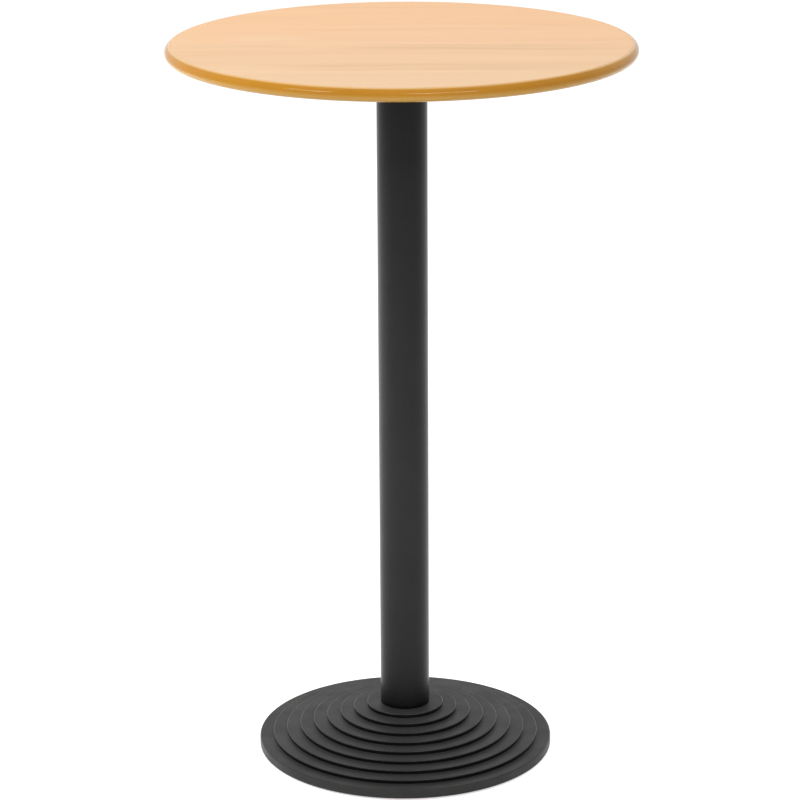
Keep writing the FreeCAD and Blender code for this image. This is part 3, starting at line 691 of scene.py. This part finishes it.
def make_threaded_rod():
    """A plain bar with a rolled thread and a chamfer at each end."""
    low, high = foot_of("tie_rod"), top_of("tie_rod")
    beyond = ROD_RADIUS + MM
    narrow = ROD_RADIUS - ROD_CHAMFER
    slope = beyond - narrow
    piece = None
    for end, inward in ((low, 1), (high, -1)):
        inner = end + inward * ROD_THREAD
        thread = wound_thread("thread", ROD_RADIUS, METRIC_DEPTH * ROD_PITCH, ROD_PITCH,
                              min(end, inner), max(end, inner))
        sleeve = [(0, end), (narrow, end), (beyond, end + inward * slope), (beyond, inner),
                  (0, inner)]
        combine(thread, turned("sleeve", sleeve, SMALL_ROUND_STEPS), "INTERSECT")
        piece = combine(piece, thread, "UNION") if piece else thread
    bar_low, bar_high = low + ROD_THREAD - MM, high - ROD_THREAD + MM
    bar = turned("bar", [(0, bar_low), (ROD_RADIUS, bar_low), (ROD_RADIUS, bar_high),
                         (0, bar_high)], SMALL_ROUND_STEPS)
    combine(bar, piece, "UNION")
    return smooth(settle(bar, "threaded_rod"), HARDWARE_SMOOTH_ANGLE)


def make_nut(name, node):
    bore = ROD_RADIUS + THREAD_CLEARANCE
    piece = hexagon(name, NUT_ACROSS, foot_of(node), top_of(node), bore, NUT_CHAMFER)
    return smooth(settle(piece, name), HARDWARE_SMOOTH_ANGLE)


def make_washer(name, node):
    low, high, outer = foot_of(node), top_of(node), radius_of(node)
    corners = [(outer, low), (outer, high), (ROD_HOLE, high), (ROD_HOLE, low)]
    piece = turned(name, ring(corners), MIDDLE_ROUND_STEPS)
    round_rings(piece, corners, WASHER_ROUND, segments=2)
    return smooth(piece)


def make_foot_pad():
    """Nylon pad with a snap socket, on the column's axis."""
    low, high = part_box("glide_pad_1")
    outer, height = (high.x - low.x) / 2, high.z
    sole = [(outer - PAD_SOLE_CORNER, 0), (outer, PAD_SOLE_CORNER)]
    crown = [(outer, PAD_SIDE_TOP), (PAD_CROWN_RADIUS, height)]
    socket = [(PAD_MOUTH_RADIUS, height), (PAD_MOUTH_RADIUS, height - PAD_LIP),
              (PAD_SOCKET_RADIUS, height - PAD_LIP), (PAD_SOCKET_RADIUS, PAD_SOCKET_FOOT)]
    piece = turned("foot_pad", [(0, 0), *sole, *crown, *socket, (0, PAD_SOCKET_FOOT)],
                   MIDDLE_ROUND_STEPS)
    round_rings(piece, sole, PAD_SOLE_ROUND, segments=2)
    round_rings(piece, crown, PAD_CROWN_ROUND, segments=3)
    return smooth(piece)


def make_foot_stud():
    """Zinc stud: disc head, spanner hexagon and threaded shank, on the column's axis."""
    low, high = foot_of("glide_stud_1"), top_of("glide_stud_1")
    neck_top = STUD_HEX_FOOT + MM
    piece = turned("foot_stud", [
        (0, low), (STUD_HEAD_RADIUS - STUD_CHAMFER, low), (STUD_HEAD_RADIUS, low + STUD_CHAMFER),
        (STUD_HEAD_RADIUS, STUD_HEAD_TOP), (STUD_RADIUS, STUD_HEAD_TOP),
        (STUD_RADIUS, neck_top), (0, neck_top)], SMALL_ROUND_STEPS)
    spanner = hexagon("spanner", STUD_HEX_ACROSS, STUD_HEX_FOOT, STUD_HEX_TOP)
    combine(piece, spanner, "UNION")
    thread = wound_thread("thread", STUD_RADIUS, METRIC_DEPTH * STUD_PITCH, STUD_PITCH,
                          STUD_HEX_TOP - MM, high)
    beyond = STUD_RADIUS + MM
    narrow = STUD_RADIUS - STUD_CHAMFER
    sleeve = [(0, STUD_HEX_TOP - MM), (beyond, STUD_HEX_TOP - MM),
              (beyond, high - (beyond - narrow)), (narrow, high), (0, high)]
    combine(thread, turned("sleeve", sleeve, SMALL_ROUND_STEPS), "INTERSECT")
    combine(piece, thread, "UNION")
    return smooth(piece, HARDWARE_SMOOTH_ANGLE)


# ---------------------------------------------------------------------------------------------
# Finishes
# ---------------------------------------------------------------------------------------------


def add_node(tree, kind, inputs=None, **options):
    """Adds a node; an input is a number, a colour or another node's output."""
    node = tree.nodes.new(kind)
    for option, value in options.items():
        setattr(node, option, value)
    for socket, source in (inputs or {}).items():
        if isinstance(source, bpy.types.NodeSocket):
            tree.links.new(source, node.inputs[socket])
        else:
            node.inputs[socket].default_value = source
    return node


def calculate(tree, operation, *values):
    node = add_node(tree, "ShaderNodeMath", dict(enumerate(values)), operation=operation)
    return node.outputs[0]


def mixed_colour(tree, factor, first, second):
    """Two colours or colour outputs mixed by a factor."""
    factor_socket, first_socket, second_socket, result = 0, 6, 7, 2
    first, second = (
        (*colour, 1) if isinstance(colour, tuple) else colour for colour in (first, second)
    )
    node = add_node(tree, "ShaderNodeMix", {factor_socket: factor, first_socket: first,
                                            second_socket: second}, data_type="RGBA")
    return node.outputs[result]


def remap(tree, value, given, wanted=(0, 1), way="SMOOTHSTEP"):
    """Takes a value from one span of numbers to another, and holds it at their ends."""
    node = add_node(tree, "ShaderNodeMapRange", {
        "Value": value, "From Min": given[0], "From Max": given[1], "To Min": wanted[0],
        "To Max": wanted[1]}, interpolation_type=way)
    return node.outputs["Result"]


def between(tree, share, first, second):
    """A number between two, by a share from 0 to 1."""
    return remap(tree, share, (0, 1), (first, second), "LINEAR")


def stretched(tree, place, rates):
    """The surface's place, scaled by a different number along each axis."""
    node = add_node(tree, "ShaderNodeVectorMath", {0: place, 1: rates}, operation="MULTIPLY")
    return node.outputs["Vector"]


def noise(tree, place, detail=2.0, roughness=0.5, scale=1.0):
    """Soft noise: the detail and roughness say how much fine noise lies over the broad one."""
    node = add_node(tree, "ShaderNodeTexNoise", {
        "Vector": place, "Scale": scale, "Detail": detail, "Roughness": roughness})
    return node.outputs["Fac"]


def object_place(tree):
    return add_node(tree, "ShaderNodeTexCoord").outputs["Object"]


def new_finish(name, colour, roughness, metallic=0.0, specular=0.5):
    """A material with its even values set on the shader itself."""
    material = bpy.data.materials.new(name)
    material.use_nodes = True
    shader = material.node_tree.nodes["Principled BSDF"]
    shader.inputs["Base Color"].default_value = (*colour, 1)
    shader.inputs["Roughness"].default_value = roughness
    shader.inputs["Metallic"].default_value = metallic
    shader.inputs["Specular IOR Level"].default_value = specular
    return material, material.node_tree, shader


def bump(tree, shader, height, distance):
    node = add_node(tree, "ShaderNodeBump", {"Height": height, "Distance": distance})
    tree.links.new(node.outputs["Normal"], shader.inputs["Normal"])


# the skin's relief adds a coarser grain: its scale and height against the fine one
COARSE_GRAIN_SCALE = 0.31
COARSE_GRAIN_HEIGHT = 0.8


def build_skin_group():
    """Uneven paint, plastic or plating: soft patches from 0 to 1, and the relief of a grain."""
    tree = bpy.data.node_groups.new("uneven_skin", "ShaderNodeTree")
    for name, kind in (("Place", "NodeSocketVector"), ("Patch Scale", "NodeSocketFloat"),
                       ("Grain Scale", "NodeSocketFloat")):
        tree.interface.new_socket(name, in_out="INPUT", socket_type=kind)
    for name in ("Patches", "Relief"):
        tree.interface.new_socket(name, in_out="OUTPUT", socket_type="NodeSocketFloat")
    given = tree.nodes.new("NodeGroupInput").outputs
    result = tree.nodes.new("NodeGroupOutput")
    patches = noise(tree, given["Place"], 3, 0.6, given["Patch Scale"])
    grain = noise(tree, given["Place"], 2, 0.55, given["Grain Scale"])
    coarse_scale = calculate(tree, "MULTIPLY", given["Grain Scale"], COARSE_GRAIN_SCALE)
    coarse = noise(tree, given["Place"], 1, 0.5, coarse_scale)
    relief = calculate(tree, "MULTIPLY_ADD", coarse, COARSE_GRAIN_HEIGHT, grain)
    tree.links.new(remap(tree, patches, (0.3, 0.7)), result.inputs["Patches"])
    tree.links.new(relief, result.inputs["Relief"])
    return tree


SKIN = build_skin_group()


def skin(tree, patch_scale, grain_scale):
    node = add_node(tree, "ShaderNodeGroup", node_tree=SKIN)
    tree.links.new(object_place(tree), node.inputs["Place"])
    node.inputs["Patch Scale"].default_value = patch_scale
    node.inputs["Grain Scale"].default_value = grain_scale
    return node.outputs


def make_uneven_finish(name, dark, light, rough, smooth_share, scales, relief, **even):
    """A painted, moulded or plated skin between two tones and two roughnesses."""
    material, tree, shader = new_finish(name, dark, rough, **even)
    out = skin(tree, *scales)
    tone = mixed_colour(tree, out["Patches"], dark, light)
    tree.links.new(tone, shader.inputs["Base Color"])
    roughness = between(tree, out["Patches"], rough, rough * smooth_share)
    tree.links.new(roughness, shader.inputs["Roughness"])
    bump(tree, shader, out["Relief"], relief)
    return material


BEECH_PEACH = (0.901, 0.556, 0.317)
BEECH_STRAW = (0.770, 0.532, 0.329)
BEECH_TAN = (0.669, 0.418, 0.237)
BEECH_PALE = (0.872, 0.617, 0.400)
BEECH_FLECK = (0.42, 0.22, 0.11)
# how often each layer of the pattern changes in a metre: along the grain, across it, upwards
WANDER_RATE = (2.2, 3.0, 1.0)
BANDS_RATE = (1.1, 15.0, 1.0)
PATCHY_RATE = (3.5, 38.0, 1.0)
LINES_RATE = (5.0, 320.0, 1.0)
FLECKS_RATE = (260.0, 1500.0, 1.0)
PORES_RATE = (900.0, 1700.0, 900.0)
# how far the grain wanders to either side of a straight line
GRAIN_WANDER = 9 * MM
PORE_DEPTH = 0.02 * MM
# share of a soft mark's width and length that has its full strength
MARK_CORE = 0.35
# soft marks in the grain: place along and across it, half length, half width, strength, colour
BEECH_MARKS = (
    (110 * MM, -45 * MM, 270 * MM, 34 * MM, 0.60, BEECH_TAN),
    (-250 * MM, -32 * MM, 150 * MM, 22 * MM, 0.30, BEECH_TAN),
    (20 * MM, -195 * MM, 270 * MM, 36 * MM, 0.45, BEECH_TAN),
    (60 * MM, 100 * MM, 270 * MM, 16 * MM, 0.25, BEECH_TAN),
    (-195 * MM, 33 * MM, 90 * MM, 24 * MM, 0.60, BEECH_PALE),
    (217 * MM, 127 * MM, 40 * MM, 6 * MM, 0.45, BEECH_TAN),
    (58 * MM, -212 * MM, 42 * MM, 6 * MM, 0.60, BEECH_TAN),
    (-60 * MM, -187 * MM, 90 * MM, 6 * MM, 0.40, BEECH_TAN),
    (-39 * MM, -45 * MM, 70 * MM, 6 * MM, 0.40, BEECH_TAN),
)


def soft_mark(tree, along, across, mark):
    """From 0 outside a lengthwise mark to its strength in its middle."""
    mark_along, mark_across, half_length, half_width, strength, _ = mark
    inside = strength
    for place, middle, half in ((along, mark_along, half_length),
                                (across, mark_across, half_width)):
        off = calculate(tree, "ABSOLUTE", calculate(tree, "SUBTRACT", place, middle))
        inside = calculate(tree, "MULTIPLY", remap(tree, off, (half, MARK_CORE * half)), inside)
    return inside


def make_beech_laminate():
    material, tree, shader = new_finish("beech_face", BEECH_STRAW, 0.60, specular=0.25)
    place = object_place(tree)
    split = add_node(tree, "ShaderNodeSeparateXYZ", {"Vector": place}).outputs
    wander = noise(tree, stretched(tree, place, WANDER_RATE), 2)
    wander = remap(tree, wander, (0.25, 0.75), (-GRAIN_WANDER, GRAIN_WANDER), "LINEAR")
    across = calculate(tree, "ADD", split["Y"], wander)
    grain_place = add_node(tree, "ShaderNodeCombineXYZ", {"X": split["X"], "Y": across})
    grain_place = grain_place.outputs["Vector"]

    # tone drifts over the sheet, along broad bands and in single marks
    sheet_tone = remap(tree, split["Y"], (-BOARD_RADIUS, BOARD_RADIUS))
    colour = mixed_colour(tree, sheet_tone, BEECH_STRAW, BEECH_PEACH)
    bands = noise(tree, stretched(tree, grain_place, BANDS_RATE), 3, 0.55)
    pale_bands = remap(tree, bands, (0.46, 0.72), (0, 0.5))
    colour = mixed_colour(tree, pale_bands, colour, BEECH_PALE)
    tan_bands = remap(tree, bands, (0.50, 0.28), (0, 0.25))
    colour = mixed_colour(tree, tan_bands, colour, BEECH_TAN)
    patchy = noise(tree, stretched(tree, grain_place, PATCHY_RATE), 2, 0.5)
    patchy = remap(tree, patchy, (0.3, 0.62), (0.35, 1.0))
    for mark in BEECH_MARKS:
        share = calculate(tree, "MULTIPLY", soft_mark(tree, split["X"], across, mark), patchy)
        colour = mixed_colour(tree, share, colour, mark[-1])

    # fine lines of the grain, and the short flecks of beech
    lines = noise(tree, stretched(tree, grain_place, LINES_RATE), 4, 0.65)
    lines = remap(tree, lines, (0.35, 0.68), (0, 0.13))
    colour = mixed_colour(tree, lines, colour, BEECH_TAN)
    flecks = noise(tree, stretched(tree, grain_place, FLECKS_RATE), 1, 0.5)
    flecks = remap(tree, flecks, (0.66, 0.74), (0, 0.30))
    colour = mixed_colour(tree, flecks, colour, BEECH_FLECK)
    tree.links.new(colour, shader.inputs["Base Color"])

    pores = noise(tree, stretched(tree, place, PORES_RATE), 2, 0.5)
    rough = calculate(tree, "ADD", lines, pores)
    rough = remap(tree, rough, (0.3, 0.8), (0.57, 0.65), "LINEAR")
    tree.links.new(rough, shader.inputs["Roughness"])
    bump(tree, shader, pores, PORE_DEPTH)
    return material


BAND_BROWN = (0.455, 0.200, 0.012)
BAND_DARKER = (0.445, 0.190, 0.009)
BAND_LIGHTER = (0.480, 0.211, 0.014)
BAND_LINE = (0.412, 0.167, 0.007)
BAND_LINE_RATE = 1400.0
BAND_LINE_DEPTH = 0.002 * MM
# painted reflection of the bright surroundings along the band's upper lip, and painted light from
# the floor on its lower part, which make it paler there: (height, reach of the change, colour)
BAND_PAINTED_LIGHT = ((TOP_HEIGHT - 0.2 * MM, -1.9 * MM, (0.700, 0.420, 0.150)),
                    (TOP_UNDERSIDE + 4 * MM, 8 * MM, (0.600, 0.330, 0.066)))


def make_band_plastic():
    """Golden-brown extruded plastic, with fine lines that run round the table."""
    material, tree, shader = new_finish("golden_edge_band", BAND_BROWN, 0.10, specular=0.20)
    place = object_place(tree)
    split = add_node(tree, "ShaderNodeSeparateXYZ", {"Vector": place}).outputs
    squares = [calculate(tree, "POWER", calculate(tree, "ABSOLUTE", split[axis]), 2)
               for axis in "XY"]
    distance = calculate(tree, "SQRT", calculate(tree, "ADD", *squares))
    section = add_node(tree, "ShaderNodeCombineXYZ", {"X": distance, "Z": split["Z"]})
    section = section.outputs["Vector"]
    lines = noise(tree, section, 3, 0.6, BAND_LINE_RATE)
    out = skin(tree, patch_scale=7, grain_scale=260)
    tone = mixed_colour(tree, out["Patches"], BAND_DARKER, BAND_LIGHTER)
    tone = mixed_colour(tree, remap(tree, lines, (0.3, 0.7), (0, 0.12)), tone, BAND_LINE)
    # painted reflection at the lip and painted light from the floor on the lower part
    for edge, reach, colour in BAND_PAINTED_LIGHT:
        painted_light_strip = remap(tree, split["Z"], (edge, edge + reach), (1, 0))
        tone = mixed_colour(tree, painted_light_strip, tone, colour)
    tree.links.new(tone, shader.inputs["Base Color"])
    rough = remap(tree, lines, (0.3, 0.7), (0.09, 0.11))
    tree.links.new(rough, shader.inputs["Roughness"])
    bump(tree, shader, lines, BAND_LINE_DEPTH)
    return material


PAINT_BLACK = (0.0125, 0.0125, 0.0130)
# painted shade: how bright the paint is against that black at each height, darker under the
# tabletop and by the base, up the column and above it on the arm casting: (height, share)
PAINT_SHADE_BY_HEIGHT = ((COLUMN_FOOT, 0.1), (COLUMN_FOOT + 110 * MM, 1.2), (450 * MM, 1.4), (960 * MM, 0.6),
              (COLUMN_TOP, 0.0), (COLUMN_TOP + MM, 0.9))
PAINT_RELIEF = 0.05 * MM


def make_column_paint():
    """Powder coat with painted shade: darker under the tabletop and by the base, greyer between.
    """
    material, tree, shader = new_finish("powder_coat", PAINT_BLACK, 0.25, specular=0.18)
    out = skin(tree, patch_scale=14, grain_scale=1100)
    height = add_node(tree, "ShaderNodeSeparateXYZ", {"Vector": object_place(tree)}).outputs["Z"]
    # painted shade: the black is scaled by height, darker under the tabletop and at the column's
    # foot
    painted_shade_and_patches = PAINT_SHADE_BY_HEIGHT[0][1]
    for (low, low_share), (high, high_share) in zip(PAINT_SHADE_BY_HEIGHT, PAINT_SHADE_BY_HEIGHT[1:]):
        change = remap(tree, height, (low, high), (0, high_share - low_share), "LINEAR")
        painted_shade_and_patches = calculate(tree, "ADD", painted_shade_and_patches, change)
    uneven = remap(tree, out["Patches"], (0, 1), (0.93, 1.07))
    painted_shade_and_patches = calculate(tree, "MULTIPLY", painted_shade_and_patches, uneven)
    tone = add_node(tree, "ShaderNodeVectorMath", {0: PAINT_BLACK, "Scale": painted_shade_and_patches},
                    operation="SCALE").outputs["Vector"]
    tree.links.new(tone, shader.inputs["Base Color"])
    tree.links.new(between(tree, out["Patches"], 0.26, 0.24), shader.inputs["Roughness"])
    bump(tree, shader, out["Relief"], PAINT_RELIEF)
    return material


CASTING_WORN = (0.0250, 0.0246, 0.0243)
CASTING_SCUFFED = (0.0300, 0.0294, 0.0290)
# painted shade that colours the risers nearly black
CASTING_RISER_SHADE = (0.0030, 0.0030, 0.0030)
CASTING_RELIEF = 0.08 * MM
RISER_ROUGHNESS = 0.22


def make_painted_casting():
    """Black paint, glossier on the risers than on the treads, with painted shade that makes the
    risers nearly black.
    """
    material, tree, shader = new_finish("painted_casting", CASTING_WORN, 0.48, specular=0.205)
    coordinates = add_node(tree, "ShaderNodeTexCoord").outputs
    out = skin(tree, patch_scale=22, grain_scale=800)
    tone = mixed_colour(tree, out["Patches"], CASTING_WORN, CASTING_SCUFFED)
    facing_up = add_node(tree, "ShaderNodeSeparateXYZ", {"Vector": coordinates["Normal"]})
    upright = remap(tree, facing_up.outputs["Z"], (0.60, 0.20))
    height = add_node(tree, "ShaderNodeSeparateXYZ", {"Vector": coordinates["Object"]})
    above_rim = remap(tree, height.outputs["Z"], (RIM_HEIGHT - MM, RIM_HEIGHT))
    # painted shade on the upright risers above the rim
    painted_riser_shade = calculate(tree, "MULTIPLY", upright, above_rim)
    sloped = remap(tree, facing_up.outputs["Z"], (0.99, 0.90))
    off_the_tread = calculate(tree, "MULTIPLY", sloped, above_rim)
    tone = mixed_colour(tree, painted_riser_shade, tone, CASTING_RISER_SHADE)
    tree.links.new(tone, shader.inputs["Base Color"])
    rough = between(tree, out["Patches"], 0.52, 0.44)
    rough = between(tree, off_the_tread, rough, RISER_ROUGHNESS)
    tree.links.new(rough, shader.inputs["Roughness"])
    bump(tree, shader, out["Relief"], CASTING_RELIEF)
    return material


BOARD_BROWN = (0.36, 0.24, 0.14)
BOARD_DARKER = (0.30, 0.19, 0.11)
BOARD_LIGHTER = (0.44, 0.31, 0.19)
FIBRE_RATE = (900, 900, 2600)
FIBRE_RELIEF = 0.15 * MM


def make_fibreboard():
    material, tree, shader = new_finish("fibreboard", BOARD_BROWN, 0.9)
    fibres = noise(tree, stretched(tree, object_place(tree), FIBRE_RATE), 3, 0.7)
    tone = mixed_colour(tree, remap(tree, fibres, (0.3, 0.7)), BOARD_DARKER, BOARD_LIGHTER)
    tree.links.new(tone, shader.inputs["Base Color"])
    bump(tree, shader, fibres, FIBRE_RELIEF)
    return material


FINISHES = {
    "beech_laminate": make_beech_laminate(),
    "edge_moulding": make_band_plastic(),
    "core_board": make_fibreboard(),
    "backing_laminate": make_uneven_finish(
        "backing_sheet", (0.30, 0.205, 0.130), (0.35, 0.240, 0.155), rough=0.62,
        smooth_share=0.85, scales=(9, 900), relief=0.03 * MM),
    "black_powder_coat": make_column_paint(),
    "black_casting": make_painted_casting(),
    "zinc_steel": make_uneven_finish(
        "zinc_plate", (0.54, 0.54, 0.52), (0.66, 0.65, 0.60), rough=0.38,
        smooth_share=0.7, scales=(90, 1500), relief=0.01 * MM, metallic=1.0),
    "black_nylon": make_uneven_finish(
        "moulded_nylon", (0.012, 0.012, 0.012), (0.018, 0.018, 0.018), rough=0.55,
        smooth_share=0.85, scales=(120, 1600), relief=0.03 * MM, specular=0.4),
}

# ---------------------------------------------------------------------------------------------
# The table
# ---------------------------------------------------------------------------------------------


def build_table():
    def add(piece, slot, *nodes, body="table"):
        dress(piece, body, FINISHES[slot], slot, *nodes)

    add(make_laminate_face(), "beech_laminate", "top_laminate")
    add(make_edge_band(), "edge_moulding", "edge_moulding")
    add(make_column(), "black_powder_coat", "column_tube")
    add(make_base(), "black_casting", "base_casting")
    add(make_arm_casting(), "black_powder_coat", "top_spider")
    add(make_threaded_rod(), "zinc_steel", "tie_rod")
    for end in ("lower", "upper"):
        add(make_nut(f"nut_{end}", f"rod_nut_{end}"), "zinc_steel", f"rod_nut_{end}")
        add(make_washer(f"washer_{end}", f"rod_washer_{end}"), "zinc_steel", f"rod_washer_{end}")

    screw = make_screw()
    for number in range(1, 2 * ARM_COUNT + 1):
        place = centre_of(f"top_screw_{number}")
        copy = copied(screw, f"arm_screw_{number}", number * SCREW_TURN_STEP,
                      (place.x, place.y, 0))
        add(copy, "zinc_steel", f"top_screw_{number}")
    bpy.data.objects.remove(screw)

    pads = at_the_glides(make_foot_pad(), "foot_pad")
    studs = at_the_glides(make_foot_stud(), "foot_stud")
    for number, (pad, stud) in enumerate(zip(pads, studs), start=1):
        add(pad, "black_nylon", f"glide_pad_{number}", body=f"pad_{number}")
        add(stud, "zinc_steel", f"glide_stud_{number}", body=f"stud_{number}")

    # the board and the backing sheet keep their CAD shapes
    for node, slot in (("top_core", "core_board"), ("underside_laminate", "backing_laminate")):
        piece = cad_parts[node]
        piece.data.materials.clear()
        piece.data.materials.append(FINISHES[slot])


build_table()

# ---------------------------------------------------------------------------------------------
# Camera, floor and light
# ---------------------------------------------------------------------------------------------

CAMERA_PLACE = Vector((0, -4.551, 1.9537))
CAMERA_REACH = 200
# turns of the camera, in radians: downwards, to the left and about its own axis
CAMERA_TILT = math.radians(17.087)
CAMERA_PAN = 0.00115
CAMERA_ROLL = -0.00568
# the lens and the sensor, in millimetres
CAMERA_LENS = 142.364
SENSOR_WIDTH = 36


def make_camera():
    lens = bpy.data.cameras.new("camera")
    lens.sensor_width = SENSOR_WIDTH
    lens.lens = CAMERA_LENS
    lens.clip_end = CAMERA_REACH
    camera = bpy.data.objects.new("camera", lens)
    bpy.context.scene.collection.objects.link(camera)
    facing = (Matrix.Rotation(CAMERA_PAN, 4, "Z")
              @ Matrix.Rotation(math.pi / 2 - CAMERA_TILT, 4, "X")
              @ Matrix.Rotation(CAMERA_ROLL, 4, "Z"))
    camera.matrix_world = Matrix.Translation(CAMERA_PLACE) @ facing
    bpy.context.scene.camera = camera


FLOOR_WIDTH = 120
FLOOR_COLOUR = (0.84, 0.84, 0.84, 1)
# glow of the floor near the table and far from it, which keeps it white but for the shadow
FLOOR_LIFT = (0.60, 0.90)
FLOOR_LIFT_REACH = (1.5, 4.0)
WORLD_FILL = 0.15


def seen_directly(tree):
    """1 for camera, glossy and transmission rays, 0 for light on the surfaces."""
    path = add_node(tree, "ShaderNodeLightPath").outputs
    glossy = calculate(tree, "MAXIMUM", path["Is Glossy Ray"], path["Is Transmission Ray"])
    return calculate(tree, "MAXIMUM", path["Is Camera Ray"], glossy)


def make_floor():
    """Pale floor, white where it is seen but for the table's shadow, and open from below."""
    clear_selection()
    bpy.ops.mesh.primitive_plane_add(size=FLOOR_WIDTH)
    floor = settle(bpy.context.object, "floor")
    material = bpy.data.materials.new("pale_floor")
    material.use_nodes = True
    tree = material.node_tree
    tree.nodes.clear()
    matt = add_node(tree, "ShaderNodeBsdfDiffuse", {"Color": FLOOR_COLOUR})
    distance = add_node(tree, "ShaderNodeVectorMath", {0: object_place(tree)},
                        operation="LENGTH").outputs["Value"]
    lift = remap(tree, distance, FLOOR_LIFT_REACH, FLOOR_LIFT)
    lift = calculate(tree, "MULTIPLY", seen_directly(tree), lift)
    glow = add_node(tree, "ShaderNodeEmission", {"Strength": lift})
    lit = add_node(tree, "ShaderNodeAddShader", {0: matt.outputs[0], 1: glow.outputs[0]})
    clear = add_node(tree, "ShaderNodeBsdfTransparent")
    from_below = add_node(tree, "ShaderNodeNewGeometry").outputs["Backfacing"]
    surface = add_node(tree, "ShaderNodeMixShader", {
        0: from_below, 1: lit.outputs[0], 2: clear.outputs[0]})
    output = add_node(tree, "ShaderNodeOutputMaterial")
    tree.links.new(surface.outputs[0], output.inputs["Surface"])
    floor.data.materials.append(material)


def make_world():
    world = bpy.data.worlds.new("studio")
    bpy.context.scene.world = world
    world.use_nodes = True
    tree = world.node_tree
    tree.nodes.clear()
    strength = calculate(tree, "MULTIPLY_ADD", seen_directly(tree), 1 - WORLD_FILL, WORLD_FILL)
    white = add_node(tree, "ShaderNodeBackground", {"Color": (1, 1, 1, 1), "Strength": strength})
    output = add_node(tree, "ShaderNodeOutputWorld")
    tree.links.new(white.outputs[0], output.inputs["Surface"])


def make_lamp(name, place, aim, size, level, matt):
    """A soft box that gives a surface turned to it about this level of light.

    A matt one isn't mirrored in the surfaces, so it leaves no highlight.
    """
    light = bpy.data.lights.new(name, "AREA")
    light.shape = "RECTANGLE"
    light.size, light.size_y = size
    reach = (Vector(aim) - Vector(place)).length
    light.energy = level * (math.pi * reach) ** 2
    lamp = bpy.data.objects.new(name, light)
    bpy.context.scene.collection.objects.link(lamp)
    lamp.location = place
    lamp.rotation_euler = (Vector(aim) - Vector(place)).to_track_quat("-Z", "Y").to_euler()
    lamp.visible_camera = False
    lamp.visible_glossy = not matt


COLUMN_MIDDLE = (0, 0, 0.75)
TOP_MIDDLE = (0, 0, 1.1)
RIM_MIDDLE = (0, -TOP_RADIUS, (TOP_HEIGHT + TOP_UNDERSIDE) / 2)
# the two lamps at the rim draw a highlight along the band: name, place, aim, size, level, matt
LAMPS = (
    ("lamp_front", (0, -2.6, 3.4), COLUMN_MIDDLE, (2.0, 1.0), 0.34, True),
    ("lamp_front_left", (-1.95, -2.0, 2.4), RIM_MIDDLE, (1.2, 0.24), 0.22, False),
    ("lamp_front_right", (0.93, -2.65, 2.4), RIM_MIDDLE, (1.6, 0.20), 0.32, False),
    ("lamp_left", (-3.2, 0.6, 1.8), COLUMN_MIDDLE, (2.6, 1.8), 0.86, True),
    ("lamp_back_right", (2.6, 1.8, 1.8), COLUMN_MIDDLE, (2.2, 1.8), 0.37, True),
    ("lamp_above", (0, 0.5, 3.9), TOP_MIDDLE, (3.0, 2.4), 0.32, False),
)

make_camera()
make_floor()
make_world()
for lamp_values in LAMPS:
    make_lamp(*lamp_values)

bpy.context.scene.view_settings.view_transform = "Standard"
